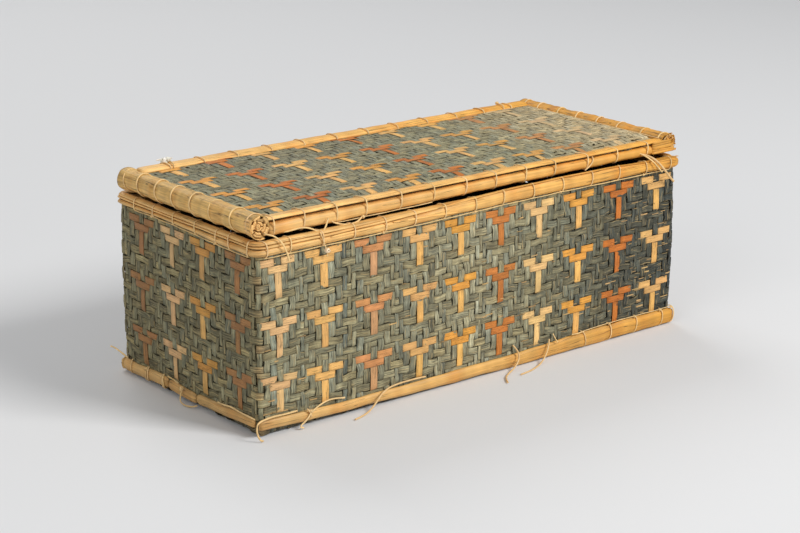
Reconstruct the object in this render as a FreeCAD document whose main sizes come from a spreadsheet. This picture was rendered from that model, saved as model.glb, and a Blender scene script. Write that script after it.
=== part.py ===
import FreeCAD, Part
import math
import os
import re
import Sketcher

# Lidded work basket of twill-plaited reed, 360 mm long.
# Frame: origin on the floor under the middle of the box, +X along the long side to the right,
# +Y to the back, where the lid is tied on, +Z up. All sizes are in millimetres.
# The box is a plaited wall band round a plaited bottom. Split reeds edge its rim and its foot
# and are lashed on, each side with one long flat thread. The lid is a plaited panel between
# two rolled reed bundles, edged front and back by a reed below and a flat strip above.
# Rows of a small T pattern in dyed splints stand a little off the walls and the lid.

os.makedirs("parts", exist_ok=True)
doc = FreeCAD.newDocument("work_basket")
sheet = doc.addObject("Spreadsheet::Sheet", "Sizes")
Vector = FreeCAD.Vector
Rule = Sketcher.Constraint

# Driving sizes, each written once
driving_sizes = [
    ("basket_length", 360.0, "overall length, over the threads"),
    ("basket_depth", 161.0, "overall depth, over the threads"),
    ("lid_depth", 148.0, "lid from front to back, over its threads"),
    ("rim_height", 123.0, "floor to the top of the rim's threads"),
    ("mat_thickness", 2.4, "plaited mat, two reed splints thick"),
    ("corner_radius", 5.0, "outer bend of the wall band at each corner"),
    ("thread_width", 0.9, "flat sewing thread, along the reed"),
    ("thread_thickness", 0.6, "flat sewing thread, off the reed"),
    ("thread_seat", 0.08, "clearance of a thread round its reed"),
    ("turn_slant", 1.6, "how far one turn of thread moves along"),
    ("seat_gap", 0.1, "clearance between pieces that are sewn together"),
    ("butt_gap", 0.3, "clearance between ends that butt"),
    ("lid_gap", 0.3, "clearance between lid and rim"),
    ("overrun", 1.0, "how far a cut runs past what it cuts"),
    ("rim_reed_width", 8.5, "outer rim reed, height of its flat back"),
    ("rim_reed_thickness", 2.0, "outer rim reed, off the wall"),
    ("top_reed_width", 5.4, "reed over the wall's raw edge"),
    ("top_reed_thickness", 2.0, "reed over the wall's raw edge"),
    ("shoulder_width_share", 0.74, "pared top reed, width at its shoulders"),
    ("shoulder_height_share", 0.6, "pared top reed, height of its shoulders"),
    ("crown_width_share", 0.3, "pared top reed, width of its crown"),
    ("inner_reed_width", 7.5, "inner rim reed, height of its flat back"),
    ("inner_reed_thickness", 2.2, "inner rim reed, off the wall"),
    ("base_cane_width", 8.8, "split cane round the foot"),
    ("base_cane_thickness", 2.0, "split cane round the foot"),
    ("base_lift", 1.0, "wall band and base canes above the floor"),
    ("base_return", 14.0, "front base cane past the near corner"),
    ("break_back", 22.0, "break in the left base cane, from the middle to the back"),
    ("break_front", 9.0, "break in the left base cane, from the middle to the front"),
    ("break_gap", 1.5, "gap at each break"),
    ("rim_wrap_pitch", 25.0, "turns of thread on the front and back rim"),
    ("side_wrap_pitch", 23.5, "turns of thread on the left and right rim"),
    ("base_wrap_pitch", 25.0, "turns of thread on the base canes"),
    ("front_sound_run", 92.0, "stretch of sound lashing at the right end of the front base cane"),
    ("left_sound_start", 24.0, "first sound turn on the left base cane"),
    ("left_wrap_pitch", 20.0, "turns of thread on the left base cane"),
    ("wrap_margin", 8.0, "last turn of thread from a reed's end"),
    ("bundle_diameter", 14.4, "rolled reed bundle at each end of the lid"),
    ("sleeve_thickness", 1.0, "splint rolled round the bundle"),
    ("core_reed_width", 4.0, "reeds pressed together inside the bundle, across their flats"),
    ("core_inset", 0.8, "core reeds behind the sleeve's end"),
    ("mat_bite", 1.0, "how far the lid's mat enters the bundle"),
    ("mat_offset", 2.3, "lid mat's underside above the bundle's axis"),
    ("lid_wrap_pitch", 27.0, "turns of thread on the lid's front and back"),
    ("bundle_wrap_pitch", 17.4, "turns of thread on the lid's bundles"),
    ("bundle_wrap_margin", 12.0, "first turn of thread from the bundle's end"),
    ("strip_width", 10.2, "flat strip on the lid's edge"),
    ("strip_thickness", 2.2, "flat strip on the lid's edge"),
    ("edge_reed_width", 8.6, "flat back of the reed under the lid's edge"),
    ("edge_reed_thickness", 8.0, "reed under the lid's edge, back to belly"),
    ("tie_inset", 37.0, "hinge tie from the end of the back"),
    ("tie_drop", 1.9, "hinge tie's hole below the rim reed"),
    ("tie_hole_length", 6.6, "hole in a mat for a hinge tie"),
    ("tie_hole_width", 1.4, "hole in a mat for a hinge tie"),
    ("tie_outer_lean", 24.0, "lean of a hinge tie from rim to lid outside, in degrees"),
    ("tie_inner_lean", 33.5, "lean of a hinge tie from rim to lid inside, in degrees"),
    ("motif_rise", 0.45, "dyed splints of the pattern, off the mat"),
    ("motif_width", 28.2, "pattern, length of its bar"),
    ("motif_bar_height", 4.7, "pattern, height of its bar"),
    ("motif_stem_width", 5.4, "pattern, its stem"),
    ("motif_stem_reach", 22.8, "pattern, from the middle of its bar to the stem's foot"),
    ("motif_pitch", 35.7, "pattern, from one column to the next"),
    ("motif_row_pitch", 36.9, "pattern, from one row to the next"),
    ("motif_top_level", 107.7, "bars of the wall's top row, above the floor"),
    ("front_motif_inset", 13.9, "front's first column from the near corner"),
    ("left_motif_inset", 26.7, "left side's first column from the back corner"),
    ("lid_motif_inset", 19.9, "lid's first column from the mat's left end"),
    ("lid_motif_setback", 6.1, "lid's first row from the mat's back edge"),
    ("closing_cord_diameter", 1.6, "two-ply cord left at the lid's front"),
    ("loose_thread_diameter", 1.1, "broken lashing at the foot of the front"),
]

# Sizes that follow from the driving ones
worked_out_sizes = [
    ("thread_allowance", "thread_seat + thread_thickness"),
    ("thread_line", "thread_seat + thread_thickness / 2"),
    ("wall_standoff", "seat_gap + rim_reed_thickness + thread_allowance"),
    ("wall_half_length", "basket_length / 2 - wall_standoff"),
    ("wall_half_depth", "basket_depth / 2 - wall_standoff"),
    ("top_reed_back", "rim_height - thread_allowance - top_reed_thickness"),
    ("wall_top", "top_reed_back - seat_gap"),
    ("wall_tall", "wall_top - base_lift"),
    ("rim_reed_middle", "wall_top - seat_gap - rim_reed_width / 2"),
    ("rim_reed_foot", "rim_reed_middle - rim_reed_width / 2"),
    ("face_x", "wall_half_length + seat_gap"),
    ("face_y", "wall_half_depth + seat_gap"),
    ("bend_radius", "corner_radius + seat_gap"),
    ("rim_end_x", "face_x + rim_reed_thickness"),
    ("cane_middle", "base_lift + base_cane_width / 2"),
    ("cane_end_x", "face_x + base_cane_thickness"),
    ("side_reed_length", "2 * (face_y - butt_gap)"),
    ("tie_offset", "basket_length / 2 - tie_inset"),
    ("inner_face_x", "wall_half_length - mat_thickness - seat_gap"),
    ("inner_face_y", "wall_half_depth - mat_thickness - seat_gap"),
    ("inner_end_x", "inner_face_x - (corner_radius - mat_thickness)"),
    ("inner_side_length", "2 * (inner_face_y - inner_reed_thickness - butt_gap)"),
    ("top_line_x", "wall_half_length - mat_thickness / 2"),
    ("top_line_y", "wall_half_depth - mat_thickness / 2"),
    ("top_bend_radius", "corner_radius - mat_thickness / 2"),
    ("top_side_length", "2 * (top_line_y - top_reed_width / 2 - butt_gap)"),
    ("bundle_radius", "bundle_diameter / 2"),
    ("bundle_reach", "bundle_radius + thread_allowance"),
    ("bundle_axis_x", "basket_length / 2 - bundle_reach"),
    ("bundle_axis_z", "rim_height + lid_gap + bundle_reach"),
    ("bundle_length", "lid_depth"),
    ("sleeve_bore", "bundle_radius - sleeve_thickness"),
    ("core_pitch", "core_reed_width + seat_gap / 2"),
    ("lid_mat_foot", "bundle_axis_z + mat_offset"),
    ("lid_mat_top", "lid_mat_foot + mat_thickness"),
    ("mat_level", "mat_offset + mat_thickness / 2"),
    ("slot_face", "sqrt(bundle_radius ^ 2 - mat_level ^ 2)"),
    ("lid_mat_half_length", "bundle_axis_x - slot_face + mat_bite"),
    ("edge_run_length", "2 * (bundle_axis_x - bundle_radius - butt_gap)"),
    ("strip_foot", "lid_mat_top + seat_gap"),
    ("edge_reed_back", "lid_mat_foot - seat_gap"),
]

# Each split reed is a segment of a circle: a flat back and a round bark side
for reed in ("rim_reed", "top_reed", "inner_reed", "base_cane", "strip", "edge_reed"):
    across = f"({reed}_width ^ 2 / 4 + {reed}_thickness ^ 2)"
    worked_out_sizes.append((f"{reed}_radius", f"{across} / (2 * {reed}_thickness)"))
worked_out_sizes += [
    ("edge_line_y", "lid_depth / 2 - thread_allowance - edge_reed_radius"),
    ("lid_mat_half_depth", "edge_line_y + edge_reed_width / 2"),
    ("tie_line_y", "edge_line_y - strip_width / 2 - thread_line"),
]

row = 1
for alias, number, note in driving_sizes:
    sheet.set(f"A{row}", note)
    sheet.set(f"B{row}", str(number))
    sheet.setAlias(f"B{row}", alias)
    row += 1
for alias, rule in worked_out_sizes:
    sheet.set(f"A{row}", alias.replace("_", " "))
    sheet.setAlias(f"B{row}", alias)
    sheet.set(f"B{row}", "=" + rule)
    row += 1
doc.recompute()
aliases = {entry[0] for entry in driving_sizes + worked_out_sizes}


def size(alias):
    return float(sheet.get(alias))


def linked(rule):
    """A rule in plain words of the sheet, with each word pointed at its cell."""
    return re.sub(r"[a-z_]+", lambda word: "Sizes." * (word[0] in aliases) + word[0], rule)


def worth(rule):
    """What a rule comes to now, for the first drawing of a sketch."""
    return float(sheet.evalExpression(linked(rule)))


def put_at(thing, x, y, z):
    for axis, rule in zip("xyz", (x, y, z)):
        thing.setExpression(f"Placement.Base.{axis}", linked(rule))


pieces = []


def keep(thing, label):
    thing.Label = label
    pieces.append(thing)
    return thing


def start_body(label):
    body = doc.addObject("PartDesign::Body", label)
    body.Label = label
    return body


def sketch_on(body, role):
    plane = [part for part in body.Origin.OriginFeatures if part.Role == role][0]
    sketch = body.newObject("Sketcher::SketchObject", f"{body.Label}_{role[:2].lower()}_sketch")
    sketch.AttachmentSupport = [(plane, "")]
    sketch.MapMode = "FlatFace"
    return sketch


def drive(sketch, name, rule, *where):
    """Add a dimension to a sketch and tie it to the sheet."""
    kind = where[0]
    index = sketch.addConstraint(Rule(kind, *where[1:], worth(rule)))
    sketch.renameConstraint(index, name)
    sketch.setExpression(f"Constraints.{name}", linked(rule))


def pad_of(body, sketch, length):
    pad = body.newObject("PartDesign::Pad", body.Label + "_pad")
    pad.Profile = sketch
    pad.setExpression("Length", linked(length))
    return pad


# Routes of straight runs with round bends between them

def draw_route(sketch, name, runs, bend, ends=None):
    """Draw runs square to each other, each on its own line, with tangent bends.

    runs holds ("x" or "y", rule) for the line that each run lies on. Without ends the
    route closes on itself; with them, the first and last run stop where ends say.
    """
    radius = worth(bend)
    lines = [(axis, rule, worth(rule)) for axis, rule in runs]
    corners = []
    for index, (axis, rule, place) in enumerate(lines):
        before = lines[index - 1]
        if axis == "x":
            corners.append(Vector(place, before[2], 0))
        else:
            corners.append(Vector(before[2], place, 0))
    stops = corners[1:] + corners[:1]
    if ends:
        first_axis, last_axis = lines[0][0], lines[-1][0]
        first_stop, last_stop = worth(ends[0]), worth(ends[1])
        corners[0] = Vector(first_stop, lines[0][2], 0)
        if first_axis == "x":
            corners[0] = Vector(lines[0][2], first_stop, 0)
        stops[-1] = Vector(last_stop, lines[-1][2], 0)
        if last_axis == "x":
            stops[-1] = Vector(lines[-1][2], last_stop, 0)
    count = len(lines)
    base = sketch.GeometryCount
    steps = []
    for index in range(count):
        step = (stops[index] - corners[index]).normalize()
        steps.append(step)
        start = corners[index] + step * radius
        finish = stops[index] - step * radius
        if ends and index == 0:
            start = corners[index]
        if ends and index == count - 1:
            finish = stops[index]
        sketch.addGeometry(Part.LineSegment(start, finish), False)
    bends = count - 1 if ends else count
    for index in range(bends):
        step, turn = steps[index], steps[(index + 1) % count]
        centre = stops[index] + (turn - step) * radius
        opening = math.atan2(-turn.y, -turn.x)
        closing = math.atan2(step.y, step.x)
        left_turn = step.cross(turn).z > 0
        first, last = (opening, closing) if left_turn else (closing, opening)
        circle = Part.Circle(centre, Vector(0, 0, 1), radius)
        sketch.addGeometry(Part.ArcOfCircle(circle, first, last), False)
        arc = base + count + index
        near, far = (1, 2) if left_turn else (2, 1)
        sketch.addConstraint(Rule("Tangent", base + index, 2, arc, near))
        sketch.addConstraint(Rule("Tangent", arc, far, base + (index + 1) % count, 1))
        drive(sketch, f"{name}_bend_{index}", bend, "Radius", arc)
    for index, (axis, rule, place) in enumerate(lines):
        sketch.addConstraint(Rule("Vertical" if axis == "x" else "Horizontal", base + index))
        kind = "DistanceX" if axis == "x" else "DistanceY"
        drive(sketch, f"{name}_line_{index}", rule, kind, -1, 1, base + index, 1)
    if ends:
        last_run = base + count - 1
        for end, rule, run, point, axis in (
            ("start", ends[0], base, 1, first_axis),
            ("stop", ends[1], last_run, 2, last_axis),
        ):
            kind = "DistanceY" if axis == "x" else "DistanceX"
            drive(sketch, f"{name}_{end}", rule, kind, -1, 1, run, point)


def box_round(half_x, half_y):
    """The four runs of a rectangle about the origin, counter-clockwise from the front."""
    return [("y", f"0 - ({half_y})"), ("x", half_x), ("y", half_y), ("x", f"0 - ({half_x})")]


# Split reeds

def draw_lens(sketch, reed, x_rule, y_rule, outward):
    """A flat-backed reed section. x_rule and y_rule place the middle of its flat back.

    outward is "up" for a bark side towards the sketch's +y and "left" for -x.
    """
    half, thickness = size(reed + "_width") / 2, size(reed + "_thickness")
    middle = Vector(worth(x_rule), worth(y_rule), 0)
    upright = outward == "left"
    chord = Vector(0, half, 0) if upright else Vector(half, 0, 0)
    crown = Vector(-thickness, 0, 0) if upright else Vector(0, thickness, 0)
    low, high = middle - chord, middle + chord
    sketch.addGeometry(Part.Arc(low, middle + crown, high), False)
    sketch.addGeometry(Part.LineSegment(low, high), False)
    low_end = 1 if sketch.Geometry[0].StartPoint.distanceToPoint(low) < half else 2
    sketch.addConstraint(Rule("Coincident", 0, low_end, 1, 1))
    sketch.addConstraint(Rule("Coincident", 0, 3 - low_end, 1, 2))
    sketch.addConstraint(Rule("Vertical" if upright else "Horizontal", 1))
    depth_rule = f"({reed}_thickness - {reed}_radius)"
    if upright:
        drive(sketch, "back", x_rule, "DistanceX", -1, 1, 1, 1)
        drive(sketch, "centre", f"{x_rule} - {depth_rule}", "DistanceX", -1, 1, 0, 3)
        drive(sketch, "middle", y_rule, "DistanceY", -1, 1, 0, 3)
    else:
        drive(sketch, "back", y_rule, "DistanceY", -1, 1, 1, 1)
        drive(sketch, "centre", f"{y_rule} + {depth_rule}", "DistanceY", -1, 1, 0, 3)
        drive(sketch, "middle", x_rule, "DistanceX", -1, 1, 0, 3)
    drive(sketch, "bark", f"{reed}_radius", "Radius", 0)


def draw_corners(sketch, name, corners):
    """A closed outline of straight edges. corners holds a rule for x and one for y each."""
    first = sketch.GeometryCount
    count = len(corners)
    places = [Vector(worth(x), worth(y), 0) for x, y in corners]
    for index in range(count):
        sketch.addGeometry(Part.LineSegment(places[index], places[(index + 1) % count]), False)
    for index, (x, y) in enumerate(corners):
        edge, following = first + index, first + (index + 1) % count
        sketch.addConstraint(Rule("Coincident", edge, 2, following, 1))
        drive(sketch, f"{name}_x_{index}", x, "DistanceX", -1, 1, edge, 1)
        drive(sketch, f"{name}_y_{index}", y, "DistanceY", -1, 1, edge, 1)


def draw_pared(sketch, reed, x_rule, y_rule):
    """A reed section pared to shoulders and a narrow crown, on a flat back."""
    shoulder = f"{reed}_width * shoulder_width_share / 2"
    shoulder_up = f"{y_rule} + {reed}_thickness * shoulder_height_share"
    crown = f"{reed}_width * crown_width_share / 2"
    crown_up = f"{y_rule} + {reed}_thickness"
    draw_corners(sketch, "pared", [
        (f"{x_rule} - {reed}_width / 2", y_rule), (f"{x_rule} + {reed}_width / 2", y_rule),
        (f"{x_rule} + {shoulder}", shoulder_up), (f"{x_rule} + {crown}", crown_up),
        (f"{x_rule} - {crown}", crown_up), (f"{x_rule} - {shoulder}", shoulder_up),
    ])


def straight_reed(label, reed, length, facing, along, x, y, z, pared=False):
    """A straight split reed. It starts at x, y, z and runs along; its bark side faces facing."""
    body = start_body(label)
    section = sketch_on(body, "YZ_Plane")
    if pared:
        draw_pared(section, reed, "0", "0")
    else:
        draw_lens(section, reed, "0", "0", "up")
    pad_of(body, section, length)
    across = facing.cross(along)
    body.Placement = FreeCAD.Placement(Vector(), FreeCAD.Rotation(along, across, facing, "XYZ"))
    put_at(body, x, y, z)
    return keep(body, label)


def bent_reed(label, reed, runs, bend, ends, z, pared=False):
    """A split reed bent round the box's corners, from its first end on the front."""
    body = start_body(label)
    route = sketch_on(body, "XY_Plane")
    draw_route(route, "reed", runs, bend, ends)
    section = sketch_on(body, "YZ_Plane")
    if pared:
        draw_pared(section, reed, runs[0][1], "0")
    else:
        draw_lens(section, reed, runs[0][1], "0", "left")
    section.setExpression("AttachmentOffset.Base.z", linked(ends[0]))
    pipe = body.newObject("PartDesign::AdditivePipe", label + "_pipe")
    pipe.Profile = section
    pipe.Spine = (route, [])
    put_at(body, "0", "0", z)
    return keep(body, label)


FRONT = Vector(0, -1, 0)
BACK = Vector(0, 1, 0)
LEFT = Vector(-1, 0, 0)
RIGHT = Vector(1, 0, 0)
UP = Vector(0, 0, 1)
DOWN = Vector(0, 0, -1)


# Mats

def punch_tie_holes(body, role, level, toward_far_side):
    """Two slots through a mat, where the hinge ties pass."""
    sketch = sketch_on(body, role)
    low, high = f"{level} - tie_hole_width / 2", f"{level} + tie_hole_width / 2"
    for side, middle in (("left", "0 - tie_offset"), ("right", "tie_offset")):
        near, far = f"{middle} - tie_hole_length / 2", f"{middle} + tie_hole_length / 2"
        draw_corners(sketch, side, [(near, low), (far, low), (far, high), (near, high)])
    doc.recompute()
    before = body.Shape.Volume
    punch = body.newObject("PartDesign::Pocket", body.Label + "_tie_holes")
    punch.Profile = sketch
    punch.Reversed = toward_far_side
    punch.setExpression("Length", linked("basket_depth"))
    doc.recompute()
    if body.Shape.Volume >= before:
        raise RuntimeError("the tie holes cut nothing in " + body.Label)


def motif_corners(start_x, start_y):
    """One T of the pattern: a bar with a stem below it."""
    half = [
        ("motif_stem_width / 2", "0 - motif_stem_reach"),
        ("motif_stem_width / 2", "0 - motif_bar_height / 2"),
        ("motif_width / 2", "0 - motif_bar_height / 2"), ("motif_width / 2", "motif_bar_height / 2"),
    ]
    right = [(f"{start_x} + {x}", f"{start_y} + {y}") for x, y in half]
    left = [(f"{start_x} - {x}", f"{start_y} + {y}") for x, y in reversed(half)]
    return right + left


def raise_motifs(body, role, name, start, offset, columns, rows, column_pitch):
    """Columns and rows of the pattern, standing motif_rise off one face of a mat."""
    sketch = sketch_on(body, role)
    draw_corners(sketch, name, motif_corners(*start))
    sketch.setExpression("AttachmentOffset.Base.z", linked(offset))
    pad = pad_of(body, sketch, "mat_thickness / 2 + motif_rise")
    doc.recompute()
    before = pad.Shape.Volume
    patterns = []
    for axis, pitch, count in (("H_Axis", column_pitch, columns), ("V_Axis", "motif_row_pitch", rows)):
        pattern = body.newObject("PartDesign::LinearPattern", f"{name}_{axis[0].lower()}_pattern")
        pattern.Direction = (sketch, [axis])
        pattern.Reversed = axis == "V_Axis"
        pattern.Occurrences = count
        pattern.setExpression("Length", linked(f"{pitch} * {count - 1}"))
        patterns.append(pattern)
    field = body.newObject("PartDesign::MultiTransform", name + "_field")
    field.Originals = [pad]
    field.Transformations = patterns
    body.Tip = field
    doc.recompute()
    if body.Shape.Volume <= before:
        raise RuntimeError(f"the pattern {name} adds nothing to {body.Label}")


wall = start_body("wall_mat")
wall_outline = sketch_on(wall, "XY_Plane")
draw_route(wall_outline, "outer", box_round("wall_half_length", "wall_half_depth"), "corner_radius")
inner_runs = box_round("wall_half_length - mat_thickness", "wall_half_depth - mat_thickness")
draw_route(wall_outline, "inner", inner_runs, "corner_radius - mat_thickness")
pad_of(wall, wall_outline, "wall_tall")
doc.recompute()
motif_level = "motif_top_level - base_lift"
wall_motifs = [
    ("front", "XZ_Plane", "front_motif_inset - wall_half_length",
     "wall_half_depth - mat_thickness / 2", 10),
    ("back", "XZ_Plane", "0 - motif_pitch * 9 / 2", "0 - wall_half_depth - motif_rise", 10),
    ("left", "YZ_Plane", "wall_half_depth - left_motif_inset - motif_pitch * 3",
     "0 - wall_half_length - motif_rise", 4),
    ("right", "YZ_Plane", "0 - motif_pitch * 3 / 2", "wall_half_length - mat_thickness / 2", 4),
]
for side, role, start, offset, columns in wall_motifs:
    raise_motifs(wall, role, side, (start, motif_level), offset, columns, 3, "motif_pitch")

# The pattern bends round the corners with the wall
trim = sketch_on(wall, "XY_Plane")
raised = box_round("wall_half_length + motif_rise", "wall_half_depth + motif_rise")
draw_route(trim, "face", raised, "corner_radius + motif_rise")
clear = box_round("wall_half_length + overrun", "wall_half_depth + overrun")
draw_route(trim, "clear", clear, "motif_rise")
trim_cut = wall.newObject("PartDesign::Pocket", "wall_mat_trim")
trim_cut.Profile = trim
trim_cut.Reversed = True
trim_cut.setExpression("Length", linked("wall_tall"))
punch_tie_holes(wall, "XZ_Plane", "rim_reed_foot - tie_drop - base_lift", False)
put_at(wall, "0", "0", "base_lift")
keep(wall, "wall_mat")

base = start_body("base_mat")
base_outline = sketch_on(base, "XY_Plane")
base_bend = "corner_radius - mat_thickness - seat_gap"
draw_route(base_outline, "edge", box_round("inner_face_x", "inner_face_y"), base_bend)
pad_of(base, base_outline, "mat_thickness")
keep(base, "base_mat")

lid = start_body("lid_mat")
lid_outline = sketch_on(lid, "XY_Plane")
draw_route(lid_outline, "edge", box_round("lid_mat_half_length", "lid_mat_half_depth"), "mat_thickness")
pad_of(lid, lid_outline, "mat_thickness")
doc.recompute()
lid_start = ("lid_motif_inset - lid_mat_half_length", "lid_mat_half_depth - lid_motif_setback")
raise_motifs(lid, "XY_Plane", "top", lid_start, "mat_thickness / 2", 9, 4, "motif_pitch")

# Under the edge strips the mat is bare
bare = sketch_on(lid, "XY_Plane")
bare.setExpression("AttachmentOffset.Base.z", linked("mat_thickness + motif_rise"))
bare_from = "tie_line_y - tie_hole_width / 2 - seat_gap"
bare_to = "lid_mat_half_depth + overrun"
right_end = "lid_mat_half_length + overrun"
left_end = f"0 - ({right_end})"
for edge, low, high in (("back", bare_from, bare_to), ("front", f"0 - ({bare_to})", f"0 - ({bare_from})")):
    draw_corners(bare, edge, [(left_end, low), (right_end, low), (right_end, high), (left_end, high)])
bare_cut = lid.newObject("PartDesign::Pocket", "lid_mat_bare_edges")
bare_cut.Profile = bare
bare_cut.setExpression("Length", linked("motif_rise"))
punch_tie_holes(lid, "XY_Plane", "tie_line_y", True)
put_at(lid, "0", "0", "lid_mat_foot")
keep(lid, "lid_mat")

# Rim: an outer reed and a reed over the raw edge run from the right front corner round the
# front, left and back; short ones close the right side. Straight reeds line the inside.

around = [("y", "0 - face_y"), ("x", "0 - face_x"), ("y", "face_y")]
rim_ends = ("rim_end_x", "rim_end_x")
bent_reed("rim_outer_reed", "rim_reed", around, "bend_radius", rim_ends, "rim_reed_middle")
straight_reed("rim_outer_reed_right", "rim_reed", "side_reed_length", RIGHT, BACK,
              "face_x", "0 - side_reed_length / 2", "rim_reed_middle")

over_edge = [("y", "0 - top_line_y"), ("x", "0 - top_line_x"), ("y", "top_line_y")]
bent_reed("rim_top_reed", "top_reed", over_edge, "top_bend_radius", rim_ends, "top_reed_back", True)
straight_reed("rim_top_reed_right", "top_reed", "top_side_length", UP, BACK,
              "top_line_x", "0 - top_side_length / 2", "top_reed_back", True)

straight_reed("rim_inner_reed_front", "inner_reed", "2 * inner_end_x", BACK, RIGHT,
              "0 - inner_end_x", "0 - inner_face_y", "rim_reed_middle")
straight_reed("rim_inner_reed_back", "inner_reed", "2 * inner_end_x", FRONT, RIGHT,
              "0 - inner_end_x", "inner_face_y", "rim_reed_middle")
straight_reed("rim_inner_reed_left", "inner_reed", "inner_side_length", RIGHT, BACK,
              "0 - inner_face_x", "0 - inner_side_length / 2", "rim_reed_middle")
straight_reed("rim_inner_reed_right", "inner_reed", "inner_side_length", LEFT, BACK,
              "inner_face_x", "0 - inner_side_length / 2", "rim_reed_middle")

# Foot: a wide split cane along each side. The front one turns round the near corner; the
# left one has broken into three pieces, still held by what is left of its lashing.

front_cane_runs = [("y", "0 - face_y"), ("x", "0 - face_x")]
front_cane_ends = ("cane_end_x", "base_return - face_y")
bent_reed("base_cane_front", "base_cane", front_cane_runs, "bend_radius", front_cane_ends,
          "cane_middle")
straight_reed("base_cane_back", "base_cane", "2 * cane_end_x", BACK, RIGHT,
              "0 - cane_end_x", "face_y", "cane_middle")
straight_reed("base_cane_right", "base_cane", "side_reed_length", RIGHT, BACK,
              "face_x", "0 - side_reed_length / 2", "cane_middle")
left_pieces = [
    ("base_cane_left_back", "break_back + break_gap", "face_y - butt_gap"),
    ("base_cane_left_middle", "0 - break_front", "break_back"),
    ("base_cane_left_front", "base_return - face_y + butt_gap", "0 - break_front - break_gap"),
]
for label, low_y, high_y in left_pieces:
    straight_reed(label, "base_cane", f"{high_y} - ({low_y})", LEFT, BACK,
                  "0 - face_x", low_y, "cane_middle")

# Lid edges: front and back, the mat is held between a stout reed below and a flat strip above

for label, line_y in (("front", "0 - edge_line_y"), ("back", "edge_line_y")):
    straight_reed(f"lid_{label}_edge_reed", "edge_reed", "edge_run_length", DOWN, RIGHT,
                  "0 - edge_run_length / 2", line_y, "edge_reed_back")
    straight_reed(f"lid_{label}_top_strip", "strip", "edge_run_length", UP, RIGHT,
                  "0 - edge_run_length / 2", line_y, "strip_foot")


# Lid ends: each a bundle of reeds in a splint rolled round them, slit where the mat enters

def place_along_y(thing, x, y, z, roll=0):
    lay_down = FreeCAD.Rotation(Vector(1, 0, 0), -90)
    thing.Placement = FreeCAD.Placement(Vector(), lay_down * FreeCAD.Rotation(UP, roll))
    put_at(thing, x, y, z)


def rolled_bundle(end, axis_x, slot_x):
    tools = []
    low_y = "0 - bundle_length / 2"
    for name, radius in (("bark", "bundle_radius"), ("bore", "sleeve_bore")):
        tool = doc.addObject("Part::Cylinder", f"lid_{end}_{name}")
        tool.setExpression("Radius", linked(radius))
        run_out = "overrun" if name == "bore" else "0"
        tool.setExpression("Height", linked(f"bundle_length + 2 * {run_out}"))
        place_along_y(tool, axis_x, f"{low_y} - {run_out}", "bundle_axis_z")
        tools.append(tool)
    slot = doc.addObject("Part::Box", f"lid_{end}_slot")
    slot.setExpression("Length", linked("bundle_radius + overrun"))
    slot.setExpression("Width", linked("bundle_length + 2 * overrun"))
    slot.setExpression("Height", linked("mat_thickness + 2 * seat_gap"))
    put_at(slot, slot_x, f"{low_y} - overrun", "lid_mat_foot - seat_gap")
    hollow = doc.addObject("Part::Cut", f"lid_{end}_tube")
    hollow.Base = tools[0]
    hollow.Tool = tools[1]
    sleeve = doc.addObject("Part::Cut", f"lid_{end}_sleeve")
    sleeve.Base = hollow
    sleeve.Tool = slot
    keep(sleeve, f"lid_{end}_sleeve")

    reeds = []
    for index in range(7):
        reed = doc.addObject("Part::Prism", f"lid_{end}_core_reed_{index}")
        reed.Polygon = 6
        reed.setExpression("Circumradius", linked("core_reed_width / 2 / cos(30)"))
        reed.setExpression("Height", linked("bundle_length - 2 * core_inset"))
        ring = "core_pitch" if index else "0"
        turn = 60 * index
        place_along_y(reed, f"{axis_x} + {ring} * cos({turn})", f"core_inset + {low_y}",
                      f"bundle_axis_z + {ring} * sin({turn})", 30)
        reeds.append(reed)
    core = doc.addObject("Part::Compound", f"lid_{end}_core_reeds")
    core.Links = reeds
    keep(core, f"lid_{end}_core_reeds")


rolled_bundle("left", "0 - bundle_axis_x", "0 - bundle_axis_x")
rolled_bundle("right", "bundle_axis_x", "bundle_axis_x - bundle_radius - overrun")
doc.recompute()


# Lashings: one unbroken flat thread per side, pulled tight round the reeds turn by turn

def belt_round(flats):
    """The corners of a tight belt, each with the facing of the stretch that follows it.

    A flat is (across, up, reach, angle): a stretch of thread that faces angle, at reach
    from the middle of the reed that it lies on.
    """
    lines = []
    for across, up, reach, angle in flats:
        facing = (math.cos(math.radians(angle)), math.sin(math.radians(angle)))
        lines.append((facing, facing[0] * across + facing[1] * up + reach))
    belt = []
    for index, ((a, b), near) in enumerate(lines):
        (c, d), far = lines[(index + 1) % len(lines)]
        span = a * d - b * c
        belt.append(((near * d - b * far) / span, (a * far - c * near) / span, (c, d)))
    return belt


def thread_ring(point, stretches):
    """The section of a flat thread at point, where it leaves one stretch for the next.

    A stretch is its direction and the facing of its flat side. The section lies in the
    plane that halves the turn, and each stretch alone would put its corners nearly there.
    """
    mitre = Vector()
    for step, facing in stretches:
        mitre = mitre + step
    ring = []
    for out, over in ((1, 1), (1, -1), (-1, -1), (-1, 1)):
        corner = Vector()
        for step, facing in stretches:
            off = facing * (out * size("thread_thickness") / 2)
            off = off + step.cross(facing) * (over * size("thread_width") / 2)
            corner = corner + off - step * (off.dot(mitre) / step.dot(mitre))
        ring.append(point + corner * (1 / len(stretches)))
    return ring


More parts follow.
